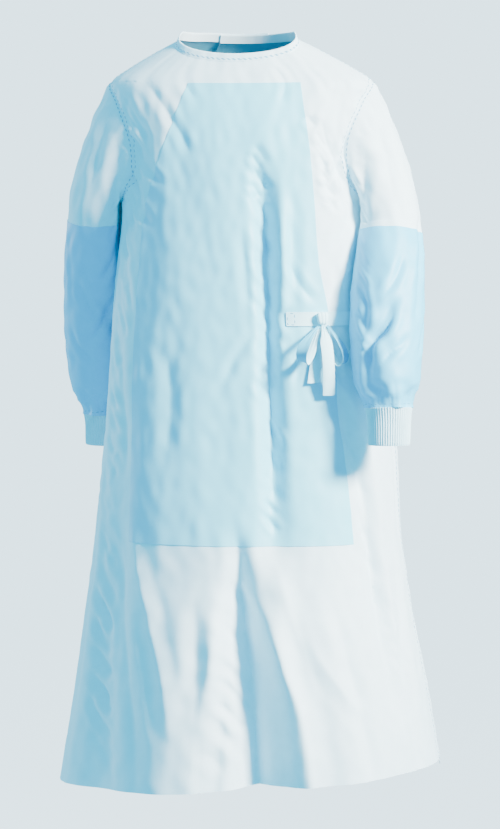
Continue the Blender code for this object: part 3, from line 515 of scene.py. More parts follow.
# The stage, its lights, and the light and look of the sky
FLOOR_Z = -2.40
STAGE_REACH = 16.0
WALL_Y = 14.5
WALL_HEIGHT = 9.0
CURVE_RADIUS = 2.4
CURVE_STEPS = 16
FLOOR_COLOUR = (0.90, 0.91, 0.92, 1)
FLOOR_ROUGHNESS = 0.9
FLOOR_GLOW = (1.0, 0.95, 0.93, 1)
FLOOR_GLOW_STRENGTH = 2.0
SKY_LIGHT = (0.02, 0.68, 1.0, 1)
SKY_LIGHT_STRENGTH = 1.55
SKY_LOOK = (0.66, 0.88, 1.0, 1)
SKY_LOOK_STRENGTH = 3.1
Light = namedtuple("Light", "name place size power colour spread shown")
LIGHTS = (
    Light("key", (4.9, -2.6, 2.5), 1.3, 200, (1.0, 0.84, 0.74), 45, True),
    Light("fill", (-3.0, -4.4, 0.2), 2.8, 5, (0.05, 0.65, 1.0), 120, True),
    Light("rim", (-6.0, 3.0, 0.4), 2.2, 250, (1.0, 0.86, 0.80), 180, False),
)

# Fine relief of the cloths, in layers. Stretched ones follow the cloth, others lie in space
Relief = namedtuple("Relief", "texture settings stretch turn distance strength")
NONWOVEN = (
    Relief("Voronoi", {"Scale": 1, "Randomness": 0.05}, (520, 520, 1), 45, 0.00012, 0.55),
    Relief("Noise", {"Scale": 1, "Detail": 3}, (1500, 420, 1), 12, 0.00018, 0.5),
)
COATED = (Relief("Noise", {"Scale": 1, "Detail": 4}, (700, 300, 1), 0, 0.00018, 0.45),)
KNITTED = (
    Relief("Wave", {"Scale": 1, "Distortion": 3.0, "Detail": 1}, (400, 240, 1), 0, 0.0004, 0.7),
    Relief("Noise", {"Scale": 1400}, None, 0, 0.0003, 0.4),
)
WOVEN = (
    Relief("Checker", {"Scale": 1}, (1700, 1700, 1), 0, 0.00015, 0.4),
    Relief("Noise", {"Scale": 900}, None, 0, 0.0002, 0.4),
)
MOTTLE_SCALE = 55
MOTTLE_DETAIL = 5
MOTTLE_RANGE = (0.32, 0.68)
SHEEN_ROUGHNESS = 0.4

# Finishes: their colours, how rough and mottled they are, their relief and sheen
Finish = namedtuple("Finish", "name colour roughness mottle relief sheen")
GOWN_CLOTH = Finish("gown_cloth", (0.62, 0.84, 0.93), 0.72, 0.022, NONWOVEN, 0.04)
# The panels' inner faces are painted dark teal. This is painted shade for the shadowed inside seen
# through the neck; the real inside is the same cloth as the outside.
INSIDE_PAINTED_SHADE = Finish("gown_inner_painted_shade", (0.05, 0.45, 0.62), 0.78, 0.03, NONWOVEN, 0.2)
FRONT_BLUE = Finish("reinforced_cloth", (0.19, 0.68, 0.85), 0.52, 0.02, COATED, 0.1)
SLEEVE_BLUE = Finish("sleeve_reinforcement", (0.09, 0.56, 0.82), 0.52, 0.02, COATED, 0.1)
KNIT = Finish("knit", (0.50, 0.80, 0.90), 0.9, 0.03, KNITTED, 0.3)
TIE = Finish("tie_tape", (0.50, 0.86, 0.95), 0.75, 0.02, NONWOVEN, 0.2)
# The inner faces of the bow's loops are painted dark blue. This is painted shade inside the loops; the
# real tape is the same on both sides.
TIE_LOOP_SHADE_PAINT = Finish("tie_loop_inner_shade", (0.06, 0.46, 0.66), 0.75, 0.02, NONWOVEN, 0.2)
HOOK_TAPE = Finish("hook_tape", (0.50, 0.80, 0.90), 0.85, 0.03, WOVEN, 0.2)
THREAD = Finish("thread", (0.04, 0.34, 0.54), 0.6, 0.05, WOVEN, 0.2)


def spline(knots, values, at):
    """The smooth curve through (knots, values), read at the given places."""
    knots, values = np.asarray(knots, float), np.asarray(values, float)
    slopes = np.gradient(values, knots)
    at = np.clip(at, knots[0], knots[-1])
    i = np.clip(np.searchsorted(knots, at) - 1, 0, len(knots) - 2)
    step = knots[i + 1] - knots[i]
    w = (at - knots[i]) / step
    ahead, back = w * w * (3 - 2 * w), w * (1 - w)
    return (values[i] * (1 - ahead) + values[i + 1] * ahead
            + step * back * ((1 - w) * slopes[i] - w * slopes[i + 1]))


def smooth_step(x):
    x = np.clip(x, 0, 1)
    return x * x * (3 - 2 * x)


def unit(vectors):
    return vectors / np.linalg.norm(vectors, axis=-1, keepdims=True)


def section(z):
    """The body's section at each height: a Section whose fields are arrays."""
    heights = [s.z for s in SECTIONS]
    fields = [spline(heights, [getattr(s, f) for s in SECTIONS], z) for f in Section._fields[1:]]
    return Section(z, *fields)


def body_radius(angle, z):
    """How far one radian is along the cloth."""
    s = section(z)
    depth = np.where(np.sin(angle) < 0, s.front, s.back)
    return np.hypot(s.half_width * np.sin(angle), depth * np.cos(angle))


def fold_push(folds, angle, z, radius, fade):
    """How far the large folds move the cloth outwards at each angle and height."""
    push = np.zeros(np.broadcast(angle, z).shape)
    for fold in folds:
        down = np.clip((fold.top_z - z) / (fold.top_z - fold.bottom_z), 0, 1)
        shown = smooth_step((fold.top_z - z) / fade) * smooth_step((z - fold.bottom_z) / fade)
        middle = np.radians(fold.top_angle + (fold.bottom_angle - fold.top_angle) * down)
        width = fold.top_width + (fold.bottom_width - fold.top_width) * down
        depth = fold.top_depth + (fold.bottom_depth - fold.top_depth) * down
        away = (angle - middle + pi) % (2 * pi) - pi
        push += depth * shown * np.exp(-((away * radius / width) ** 2))
    return push


class Field:
    """Heights of small creases over a surface, by angle round it and height up it."""

    def __init__(self, top, bottom, radius):
        rows = int((top - bottom) / FIELD_STEP) + 2
        self.top, self.radius = top, radius
        self.values = np.zeros((rows, FIELD_COLUMNS))
        self.heights = top - FIELD_STEP * np.arange(rows)

    def press(self, crease, fade=CREASE_FADE):
        """Adds one crease, a trough or ridge with a low flank on each side."""
        knots = np.linspace(0, 1, len(crease.points))
        along = np.linspace(0, 1, CREASE_STEPS + 1)
        turn = np.radians(spline(knots, [p[0] for p in crease.points], along))
        height = spline(knots, [p[1] for p in crease.points], along)
        reach = CREASE_REACH * crease.width
        rows = np.where((self.heights > height.min() - reach)
                        & (self.heights < height.max() + reach))[0]
        z = self.heights[rows][:, None]
        spread = reach / float(np.min(self.radius(turn, np.clip(height, z.min(), z.max()))))
        step = 2 * pi / FIELD_COLUMNS
        columns = np.arange(int((turn.min() - spread + pi) / step),
                            int((turn.max() + spread + pi) / step) + 1)
        angle = (columns * step - pi)[None, :]
        radius = self.radius(angle, z)
        nearest = np.full(radius.shape, np.inf)
        share = np.zeros(radius.shape)
        for k in range(CREASE_STEPS):
            from_x, from_z = (angle - turn[k]) * radius, z - height[k]
            to_x, to_z = (turn[k + 1] - turn[k]) * radius, height[k + 1] - height[k]
            w = np.clip((from_x * to_x + from_z * to_z) / (to_x ** 2 + to_z ** 2), 0, 1)
            distance = np.hypot(from_x - w * to_x, from_z - w * to_z)
            closer = distance < nearest
            nearest[closer] = distance[closer]
            share[closer] = (k + w[closer]) / CREASE_STEPS
        shown = smooth_step(share / fade) * smooth_step((1 - share) / fade)
        away = nearest / crease.width
        across = (np.exp(-away ** CREASE_SHARPNESS)
                  - FLANK_HEIGHT * np.exp(-((away - FLANK_PLACE) / FLANK_WIDTH) ** 2))
        self.values[rows[:, None], columns[None, :] % FIELD_COLUMNS] += (
            crease.depth * shown * across)

    def ripple(self, waves, radius):
        """Adds smooth random waves, which are longer down the cloth than across it."""
        noise = np.random.default_rng(waves.seed).standard_normal(self.values.shape)
        across = np.fft.rfftfreq(FIELD_COLUMNS, 2 * pi * radius / FIELD_COLUMNS)[None, :]
        down = np.fft.fftfreq(len(self.heights), FIELD_STEP)[:, None] * waves.stretch
        frequency = np.maximum(np.hypot(across, down), LOWEST_FREQUENCY)
        band = np.exp(-(np.log(frequency * waves.length) / waves.spread) ** 2)
        found = np.fft.irfft2(np.fft.rfft2(noise) * band, self.values.shape)
        self.values += waves.height * found / found.std()

    def at(self, angle, z):
        """Heights at places between the field's own points."""
        column = (angle + pi) / (2 * pi) * FIELD_COLUMNS
        row = np.clip((self.top - z) / FIELD_STEP, 0, len(self.heights) - ROW_MARGIN)
        i, j = np.floor(row).astype(int), np.floor(column).astype(int)
        down, across = row - i, column - j
        left, right = j % FIELD_COLUMNS, (j + 1) % FIELD_COLUMNS
        upper = self.values[i, left] * (1 - across) + self.values[i, right] * across
        lower = self.values[i + 1, left] * (1 - across) + self.values[i + 1, right] * across
        return upper * (1 - down) + lower * down


def body_cloth(angle, z):
    """Points of the body's outer surface, without any thickness or lift."""
    angle, z = np.broadcast_arrays(np.asarray(angle, float), np.asarray(z, float))
    s = section(z)
    cosine, sine = np.cos(angle), np.sin(angle)
    depth = np.where(sine < 0, s.front, s.back)
    box = 1 + s.boxiness * np.sin(2 * angle) ** 2
    push = fold_push(BODY_FOLDS, angle, z, body_radius(angle, z), FOLD_FADE)
    push = push + body_field.at(angle, z)
    out_x, out_y = cosine / s.half_width, sine / depth
    length = np.hypot(out_x, out_y)
    x = s.centre_x + s.half_width * cosine * box + push * out_x / length
    y = depth * sine * box + push * out_y / length
    return np.stack([x, y, z], axis=-1)


def body_normal(angle, z):
    along = body_cloth(angle + NORMAL_TURN, z) - body_cloth(angle - NORMAL_TURN, z)
    up = body_cloth(angle, z + NORMAL_DROP) - body_cloth(angle, z - NORMAL_DROP)
    return unit(np.cross(along, up))


def body_surface(angle, z, out=0.0):
    """Points of the body's cloth moved out along its normals."""
    return body_cloth(angle, z) + body_normal(angle, z) * np.asarray(out)[..., None]


def neck_z(angle):
    low = np.where(np.sin(angle) < 0, NECK_FRONT_Z, NECK_BACK_Z)
    return NECK_SIDE_Z + (low - NECK_SIDE_Z) * np.sin(angle) ** 2


def armhole_turn(row):
    """The angle, from 0 at the shoulder to pi at the armpit, of a row that ends on the armhole."""
    return pi * (row - YOKE_ROWS) / ARMHOLE_ROWS


def armhole_share(row):
    """How much of its greatest width the armhole has at a row."""
    turn = armhole_turn(np.clip(row, YOKE_ROWS, YOKE_ROWS + ARMHOLE_ROWS))
    return np.sin(turn) * (1 - ARMHOLE_SKEW * np.cos(turn))


def body_row(z):
    """The grid's row at one of the heights below the armpit."""
    return YOKE_ROWS + ARMHOLE_ROWS + 1 + LOWER_ROWS_Z.index(z)


def row_z(row, angle):
    """Height of the grid's row at each angle: the yoke's rows fan out from the neckline."""
    dip = SHOULDER_DIP * np.where(np.sin(angle) < 0, np.sin(angle) ** 2, 0)
    if row <= YOKE_ROWS:
        top = neck_z(angle)
        return top + (SHOULDER_Z - dip - top) * row / YOKE_ROWS
    if row <= YOKE_ROWS + ARMHOLE_ROWS:
        share = (1 - np.cos(armhole_turn(row))) / 2
        return SHOULDER_Z + (ARMPIT_Z - SHOULDER_Z) * share - dip * (1 - share)
    below = row - YOKE_ROWS - ARMHOLE_ROWS
    level = np.interp(below, range(len(LOWER_ROWS_Z) + 1), (ARMPIT_Z, *LOWER_ROWS_Z))
    tilt = HEM_TILT * smooth_step((HEM_TILT_START_Z - level) / (HEM_TILT_START_Z - HEM_Z))
    return level + tilt * np.cos(angle)


def fine_rows(first, last):
    """Rows of the fine grid from one of the coarse rows to another."""
    rows = [float(first)]
    for row in range(first, last):
        if row < YOKE_ROWS:
            count = YOKE_STEPS
        elif row < YOKE_ROWS + ARMHOLE_ROWS:
            count = ARMHOLE_STEPS
        else:
            drop = float(row_z(row, pi / 2) - row_z(row + 1, pi / 2))
            count = ceil(drop / ROW_SPACING)
        rows += list(row + np.arange(1, count + 1) / count)
    return rows


def spread(stops, counts):
    """Angles from stop to stop, evenly spaced between each two."""
    parts = [np.linspace(a, b, n, endpoint=False) for a, b, n in zip(stops, stops[1:], counts)]
    return np.concatenate([*parts, [stops[-1]]])


def patch_edges(row):
    """Angles of the front reinforcement's two edges at a row."""
    level = SHOULDER_Z if row <= YOKE_ROWS else float(row_z(row, np.array(-pi / 2)))
    heights = [e.z for e in PATCH_EDGES]
    s = section(np.array(max(level, PATCH_BOTTOM_Z)))
    found = []
    for places in ([e.right_x for e in PATCH_EDGES], [e.left_x for e in PATCH_EDGES]):
        across = (spline(heights, places, s.z) - s.centre_x) / s.half_width
        found.append(-float(np.arccos(across)))
    return found


def front_angles(row):
    side = ARMHOLE_FRONT * armhole_share(row)
    right, left = patch_edges(row)
    return spread((-pi + side, right, left, -side),
                  (MARGIN_COLUMNS, PATCH_COLUMNS, MARGIN_COLUMNS))


def back_angles(row):
    side = ARMHOLE_BACK * armhole_share(row)
    return spread((side, OUTER_EDGE, INNER_EDGE, pi - side), BACK_COLUMNS)


def lift(angle):
    """How far the outer back panel, and what is on it, lies outside the inner one."""
    return LAP_OUT * smooth_step((LIFT_START - angle) / (LIFT_START - LIFT_END))


def grid_places(angles_of, rows, columns=slice(None)):
    """Angles and heights of a grid of places on the body."""
    angles = np.array([angles_of(row)[columns] for row in rows])
    heights = np.array([row_z(row, a) for row, a in zip(rows, angles)])
    return angles, heights


def metric(grid, around):
    """Coordinates in metres over a grid: along its rows, and down its columns."""
    wrapped = np.concatenate([grid, grid[:, :1]], axis=1) if around else grid
    across = np.linalg.norm(np.diff(wrapped, axis=1), axis=-1)
    middle = wrapped.shape[1] // 2
    u = np.concatenate([np.zeros((len(grid), 1)), np.cumsum(across, axis=1)], axis=1)
    u = u - u[:, middle:middle + 1]
    down = np.linalg.norm(np.diff(wrapped, axis=0), axis=-1).mean(axis=1)
    v = np.concatenate([[0.0], np.cumsum(down)])[:, None] + 0 * u
    return np.stack([u, v], axis=-1)


def shell(name, outer, inner, materials, around=False):
    """A closed thin shell between two grids of points, with its coordinates in metres."""
    rows, columns = outer.shape[:2]
    half = rows * columns
    places = metric(outer, around)
    spans = columns if around else columns - 1
    i, j = [a.ravel() for a in np.meshgrid(np.arange(rows - 1), np.arange(spans), indexing="ij")]
    square = [(i, j), (i + 1, j), (i + 1, j + 1), (i, j + 1)]
    quads = [[(0, *corner) for corner in square], [(1, *corner) for corner in square[::-1]]]
    across = np.arange(spans)
    for row, order in ((0, 1), (rows - 1, -1)):
        edge = 0 * across + row
        quads.append([(0, edge, across), (0, edge, across + 1), (1, edge, across + 1),
                      (1, edge, across)][::order])
    if not around:
        down = np.arange(rows - 1)
        for column, order in ((0, -1), (columns - 1, 1)):
            edge = 0 * down + column
            quads.append([(0, down, edge), (0, down + 1, edge), (1, down + 1, edge),
                          (1, down, edge)][::order])
    faces, marks, kinds = [], [], []
    for number, corners in enumerate(quads):
        first = 1 if number == 1 else 0
        for order in ((first, first + 1, first + 2), (first, first + 2, (first + 3) % 4)):
            picked = [corners[k] for k in order]
            faces.append(np.stack([side * half + a * columns + b % columns
                                   for side, a, b in picked], 1))
            marks.append(np.stack([places[a, b] for _, a, b in picked], 1))
            kinds.append(np.full(len(faces[-1]), 1 if number == 1 else 0))
    faces, marks = np.concatenate(faces), np.concatenate(marks)
    points = np.concatenate([outer.reshape(-1, 3), inner.reshape(-1, 3)])
    a, b, c = (points[faces[:, k]] for k in range(3))
    if (a * np.cross(b, c)).sum() < 0:
        faces, marks = faces[:, ::-1], marks[:, ::-1]
    mesh = bpy.data.meshes.new(name)
    mesh.from_pydata(points.tolist(), [], faces.tolist())
    mesh.uv_layers.new(name="cloth").data.foreach_set("uv", marks.ravel())
    mesh.polygons.foreach_set("material_index", np.concatenate(kinds).astype(np.int32))
    return add_piece(name, mesh, materials)


def add_piece(name, mesh, materials):
    for material in materials:
        mesh.materials.append(material)
    mesh.shade_smooth()
    mesh.set_sharp_from_angle(angle=SHARP_ANGLE)
    obj = bpy.data.objects.new(name, mesh)
    bpy.context.scene.collection.objects.link(obj)
    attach(obj, "root")
    return obj


def stitches(name, lines, thread):
    """Short raised threads along lines of (points, normals), all in one piece."""
    points, faces = [], []
    ring = ((-1, 0), (0, 1), (1, 0), (0, -1))
    count = len(ring)
    for line, normals in lines:
        steps = np.linalg.norm(np.diff(line, axis=0), axis=1)
        far = np.concatenate([[0.0], np.cumsum(steps)])
        for start in np.arange(STITCH_PITCH / 2, far[-1] - STITCH_LENGTH, STITCH_PITCH):
            places = start + STITCH_LENGTH * np.array([0.0, 0.5, 1.0])
            middles = np.stack([np.interp(places, far, line[:, k]) for k in range(3)], 1)
            up = unit(np.array([np.interp(places[1], far, normals[:, k]) for k in range(3)]))
            across = unit(np.cross(middles[2] - middles[0], up))
            base = len(points)
            for middle, thick in zip(middles, STITCH_TAPER):
                for a, b in ring:
                    off = a * across + STITCH_FLATNESS * b * up
                    points.append(middle + STITCH_WIDTH * thick * off)
            for i in (base, base + count):
                for k in range(count):
                    n = (k + 1) % count
                    faces.append((i + k, i + n, i + count + n, i + count + k))
            faces.append(tuple(base + k for k in reversed(range(count))))
            faces.append(tuple(base + 2 * count + k for k in range(count)))
    mesh = bpy.data.meshes.new(name)
    mesh.from_pydata([tuple(p) for p in points], [], faces)
    mesh.uv_layers.new(name="cloth")
    add_piece(name, mesh, [thread])


def body_line(angles, heights, out):
    """A line of places on the body for stitches: its points and normals."""
    angles, heights = np.broadcast_arrays(np.asarray(angles, float), np.asarray(heights, float))
    normals = body_normal(angles, heights)
    return body_cloth(angles, heights) + normals * np.asarray(out)[..., None], normals


def add_body_stitches(thread):
    """Rows of stitches beside the side, shoulder and armhole seams and the lap's edge."""
    lines = []
    for middle, way in ((0.0, -1), (-pi, 1)):
        for top, bottom in (SIDE_STITCHES_Z, SHOULDER_STITCHES_Z):
            z = np.linspace(top, bottom, SEAM_LINE_POINTS)
            angle = middle + way * STITCH_INSET / body_radius(middle + 0 * z, z)
            lines.append(body_line(angle, z, STITCH_RISE + 0 * z))
    for side in (1, -1):
        turns = np.linspace(0, 2 * pi, ARMHOLE_LINE_POINTS)
        places = np.array([armhole_place(t, side) for t in turns])
        angle, z = places[:, 0], places[:, 1]
        radius = body_radius(angle, z)
        middle = 0 if side > 0 else pi * np.sign(angle)
        away = np.stack([(angle - middle) * radius, z - (SHOULDER_Z + ARMPIT_Z) / 2], axis=-1)
        away = unit(away) * STITCH_INSET
        lines.append(body_line(angle + away[:, 0] / radius, z + away[:, 1], STITCH_RISE + 0 * z))
    z = np.linspace(*LAP_STITCHES_Z, LAP_LINE_POINTS)
    angle = OUTER_EDGE + LAP_HEM / body_radius(OUTER_EDGE + 0 * z, z)
    lines.append(body_line(angle, z, lift(angle) + STITCH_RISE))
    stitches("seam_stitches", lines, thread)


def dress(obj, node):
    """The piece takes the place of its solid, which is hidden."""
    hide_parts(node)
    return obj


def body_shell(name, angles_of, rows, columns, out, thickness, materials):
    """A piece of cloth that lies on the body: its inner face is moved out by out."""
    angles, heights = grid_places(angles_of, rows, columns)
    away = out(angles) if callable(out) else out + 0 * angles
    points, normals = body_cloth(angles, heights), body_normal(angles, heights)
    outer = points + normals * (away + thickness)[..., None]
    inner = points + normals * away[..., None]
    return shell(name, outer, inner, materials)


def armhole_place(turn, side):
    """Angle and height on the body of a place on the armhole's edge."""
    front = turn > pi
    row = YOKE_ROWS + ARMHOLE_ROWS * (2 * pi - turn if front else turn) / pi
    sweep = -ARMHOLE_FRONT * armhole_share(row) if front else ARMHOLE_BACK * armhole_share(row)
    angle = sweep if side > 0 else pi - sweep
    return angle, float(row_z(row, np.array(angle)))


def arm_curve(stations, z):
    """Middle, half width and half depth of a sleeve at each height."""
    order = sorted(stations, key=lambda s: s.z)
    heights = [s.z for s in order]
    x, y, wide, deep = (spline(heights, [getattr(s, f) for s in order], z)
                        for f in ("x", "y", "half_width", "half_depth"))
    return np.stack([x, y, z], axis=-1), wide, deep


def arm_ring(stations, z, turns):
    """One ring round the arm, leant a little with it, and the arm's direction."""
    middle, wide, deep = arm_curve(stations, np.array(z))
    below, _, _ = arm_curve(stations, np.array(z - ARM_STEP))
    above, _, _ = arm_curve(stations, np.array(z + ARM_STEP))
    down = unit(below - above)
    plane = unit(down * [RING_LEAN, RING_LEAN, 1.0])
    across = np.array([np.sign(stations[0].x), 0.0, 0.0])
    across = unit(across - plane * (across @ plane))
    behind = np.array([0.0, 1.0, 0.0])
    behind = behind - plane * (behind @ plane)
    behind = unit(behind - across * (behind @ across))
    ring = (middle + wide * np.cos(turns)[:, None] * across
            + deep * np.sin(turns)[:, None] * behind)
    return ring, down


def clear_of_body(points, clearance):
    """Moves points that lie in or near the body out to the clearance, with no sharp bend."""
    s = section(points[..., 2])
    x, y = points[..., 0] - s.centre_x, points[..., 1]
    depth = np.where(y < 0, s.front, s.back)
    angle = np.arctan2(y / depth, x / s.half_width)
    ellipse = np.hypot(s.half_width * np.cos(angle), depth * np.sin(angle))
    surface = body_cloth(angle, points[..., 2])
    cloth = np.hypot(surface[..., 0] - s.centre_x, surface[..., 1])
    share = np.hypot(x / s.half_width, y / depth)
    spare = share * ellipse - cloth - clearance
    moved = 0.5 * (spare + np.sqrt(spare ** 2 + SLEEVE_SOFTNESS ** 2))
    scale = (cloth + clearance + moved) / (share * ellipse)
    return np.stack([s.centre_x + x * scale, y * scale, points[..., 2]], axis=-1)


def sleeve_grid(stations, folds, field):
    """A sleeve's outer points: rows from the armhole to the cuff, columns round the arm."""
    side = np.sign(stations[0].x)
    count = 2 * ARMHOLE_ROWS * ARMHOLE_STEPS
    turns = 2 * pi * np.arange(count) / count
    places = np.array([armhole_place(t, side) for t in turns])
    loop = body_surface(places[:, 0], places[:, 1], 0.0)
    top, bottom = stations[0].z, stations[-2].z
    levels = [top + (bottom - top) * share for share in SLEEVE_SHARES]
    ring, down = arm_ring(stations, levels[0], turns)
    reach = np.linalg.norm(ring - loop, axis=1, keepdims=True)
    out_x, out_y, out_z = CAP_HEADING
    leave = unit(np.stack([np.full(count, side * out_x), out_y * np.sin(turns),
                           out_z - CAP_SPREAD * np.cos(turns)], axis=-1))
    grid = []
    for w in CAP_STEPS:
        blend = w * w * (3 - 2 * w)
        grid.append(loop * (1 - blend) + ring * blend
                    + leave * reach * CAP_LEAVES_BY * w * (1 - w) ** 2
                    - down * reach * CAP_ARRIVES_BY * w * w * (1 - w))
    for level, share in zip(levels, SLEEVE_SHARES):
        row = arm_ring(stations, level, turns)[0]
        middle, wide, _ = arm_curve(stations, np.array(level))
        push = fold_push(folds, turns, np.array(level), wide, SLEEVE_FOLD_FADE)
        gather = smooth_step((share - GATHER_START) / (1 - GATHER_START))
        push = push + GATHER_DEPTH * gather * np.cos(GATHER_WAVES * turns)
        grid.append(row + unit(row - middle) * push[:, None])
    grid = np.array(grid)
    first = grid[0].copy()
    clearing = np.ones(len(grid))
    clearing[:len(CAP_STEPS)] = smooth_step(np.array(CAP_STEPS) / CAP_CLEARS_BY)
    normals = tube_normals(grid, side)
    dents = field.at(turns[None, :], grid[..., 2]) * clearing[:, None]
    grid = grid + normals * dents[..., None]
    for i in range(1, len(grid)):
        grid[i] = clear_of_body(grid[i], SLEEVE_CLEARANCE * clearing[i])
    grid[0] = first
    return grid


def tube_normals(grid, side):
    """Outward normals of a tube's grid; its first ring faces away from the armhole's middle."""
    round_it = np.roll(grid, -1, axis=1) - np.roll(grid, 1, axis=1)
    down_it = np.gradient(grid, axis=0)
    normals = unit(np.cross(down_it, round_it)) * side
    first = grid[0] - grid[0].mean(axis=0)
    first[:, 0] = 0
    normals[0] = unit(first)
    normals[-1] = unit(grid[-1] - grid[-1].mean(axis=0))
    return normals


def paint(finish):
    """A cloth finish: a soft mottle in its colour, and fine relief."""
    material = bpy.data.materials.new(finish.name)
    material.use_nodes = True
    nodes, links = material.node_tree.nodes, material.node_tree.links
    shader = nodes["Principled BSDF"]
    shader.inputs["Roughness"].default_value = finish.roughness
    shader.inputs["Sheen Weight"].default_value = finish.sheen
    shader.inputs["Sheen Roughness"].default_value = SHEEN_ROUGHNESS
    place = nodes.new("ShaderNodeTexCoord")
    cloud = nodes.new("ShaderNodeTexNoise")
    cloud.inputs["Scale"].default_value = MOTTLE_SCALE
    cloud.inputs["Detail"].default_value = MOTTLE_DETAIL
    links.new(place.outputs["Object"], cloud.inputs["Vector"])
    ramp = nodes.new("ShaderNodeValToRGB")
    shades = (1 - finish.mottle, 1 + finish.mottle)
    for stop, position, shade in zip(ramp.color_ramp.elements, MOTTLE_RANGE, shades):
        stop.position = position
        stop.color = (*[min(1, c * shade) for c in finish.colour], 1)
    links.new(cloud.outputs["Fac"], ramp.inputs["Fac"])
    links.new(ramp.outputs["Color"], shader.inputs["Base Color"])
    below = None
    for layer in finish.relief:
        below = add_relief(nodes, links, place, layer, below)
    links.new(below, shader.inputs["Normal"])
    return material


def add_relief(nodes, links, place, layer, below):
    """One layer of fine relief over those below it, from a texture's height."""
    texture = nodes.new(f"ShaderNodeTex{layer.texture}")
    for name, value in layer.settings.items():
        texture.inputs[name].default_value = value
    if layer.texture == "Wave":
        texture.bands_direction = "Y"
    vector = place.outputs["Object"]
    if layer.stretch:
        mapping = nodes.new("ShaderNodeMapping")
        mapping.inputs["Scale"].default_value = layer.stretch
        mapping.inputs["Rotation"].default_value = (0, 0, radians(layer.turn))
        links.new(place.outputs["UV"], mapping.inputs["Vector"])
        vector = mapping.outputs["Vector"]
    links.new(vector, texture.inputs["Vector"])
    bump = nodes.new("ShaderNodeBump")
    bump.inputs["Distance"].default_value = layer.distance
    bump.inputs["Strength"].default_value = layer.strength
    height = "Distance" if layer.texture == "Voronoi" else "Fac"
    links.new(texture.outputs[height], bump.inputs["Height"])
    if below:
        links.new(below, bump.inputs["Normal"])
    return bump.outputs["Normal"]


def add_panels(cloth, panel_shade_paint, blue):
    """Front panel, the two back panels that lap over, and the reinforcement on the front."""
    hem_row = body_row(HEM_Z)
    rows = fine_rows(0, hem_row)
    # Each panel's inner face takes the dark teal painted shade.
    both = [cloth, panel_shade_paint]
    front = body_shell("front_cloth", front_angles, rows, slice(None), -CLOTH, CLOTH, both)
    dress(front, "front_panel")
    left = slice(0, BACK_COLUMNS[0] + BACK_COLUMNS[1] + 1)
    inner_back = body_shell("back_cloth_left", back_angles, rows, left, -CLOTH, CLOTH, both)
    dress(inner_back, "left_back_panel")
    right = slice(BACK_COLUMNS[0], None)
    outer_back = body_shell("back_cloth_right", back_angles, rows, right,
                            lambda a: lift(a) - CLOTH, CLOTH, both)
    dress(outer_back, "right_back_panel")
    patch_rows = fine_rows(YOKE_ROWS, body_row(PATCH_BOTTOM_Z))
    patch = slice(MARGIN_COLUMNS, MARGIN_COLUMNS + PATCH_COLUMNS + 1)
    front_patch = body_shell("front_patch", front_angles, patch_rows, patch, LAYER_GAP,
                             PATCH_CLOTH, [blue, blue])
    dress(front_patch, "front_reinforcement")


def band_angles():
    """Angles of the collar band, from the inner back panel's edge round to the outer one's."""
    back, front = back_angles(0), front_angles(0)
    left = back[: BACK_COLUMNS[0] + BACK_COLUMNS[1] + 1][::-1]
    right = back[BACK_COLUMNS[0]:][::-1] - 2 * pi
    return np.concatenate([left[:-1], [0.0], front[::-1][1:-1], [-pi], right[1:]])


def rim_thickness(share, rounding, rim):
    """A wall's share of its thickness, which rounds off to rim where share comes to 1."""
    near = np.clip((share - 1 + rounding) / rounding, 0, 1)
    return rim + (1 - rim) * np.sqrt(1 - near ** 2)


def add_collar(cloth, thread):
    """The binding round the neck: a folded strip, lapped at the back like the panels."""
    angles = band_angles()
    edge_z = neck_z(angles)
    raised = lift(angles + 2 * pi) * (angles < -pi)
    foot = body_surface(angles, edge_z, raised)
    inward = unit(np.stack([-np.cos(angles), -np.sin(angles), 0 * angles], axis=-1))
    rise = unit(inward * BAND_LEAN + np.array([0.0, 0.0, 1.0]))
    face = unit(-inward + np.array([0.0, 0.0, BAND_LEAN]))
    outer, inner = [], []
    for share in np.linspace(1, 0, BAND_STEPS + 1):
        line = foot + rise * BAND_HEIGHT * share
        half = BAND_WALL / 2 * rim_thickness(share, BAND_ROUND, BAND_RIM)
        outer.append(line + face * (BAND_PROUD - BAND_WALL / 2 + half))
        inner.append(line + face * (BAND_PROUD - BAND_WALL / 2 - half))
    lines = [(foot + rise * BAND_HEIGHT * share + face * BAND_PROUD, face)
             for share in BAND_STITCH_SHARES]
    stitches("collar_stitches", lines, thread)
    band = shell("collar", np.array(outer), np.array(inner), [cloth, cloth])
    dress(band, "collar_band")


def add_sleeve(arm, field, cloth, blue, thread):
    """One sleeve, and the reinforcement round its lower part."""
    name, side = arm.name, np.sign(arm.stations[0].x)
    grid = sleeve_grid(arm.stations, arm.folds, field)
    normals = tube_normals(grid, side)
    sleeve = shell(f"sleeve_{name}", grid, grid - normals * CLOTH, [cloth, cloth], True)
    dress(sleeve, f"{name}_sleeve")
    share = np.array(SLEEVE_SHARES)
    first = len(CAP_STEPS) + int(np.argmin(abs(share - SLEEVE_PATCH_SHARE)))
    rows = ((1, STITCH_RISE), (-2, LAYER_GAP + PATCH_CLOTH))
    around = np.arange(grid.shape[1] + 1) % grid.shape[1]
    lines = [((grid[k] + normals[k] * out)[around], normals[k][around]) for k, out in rows]
    stitches(f"sleeve_stitches_{name}", lines, thread)
    grid, normals = grid[first:], normals[first:]
    patch = shell(f"sleeve_patch_{name}", grid + normals * (LAYER_GAP + PATCH_CLOTH),
                  grid + normals * LAYER_GAP, [blue, blue], True)
    dress(patch, f"{name}_sleeve_reinforcement")


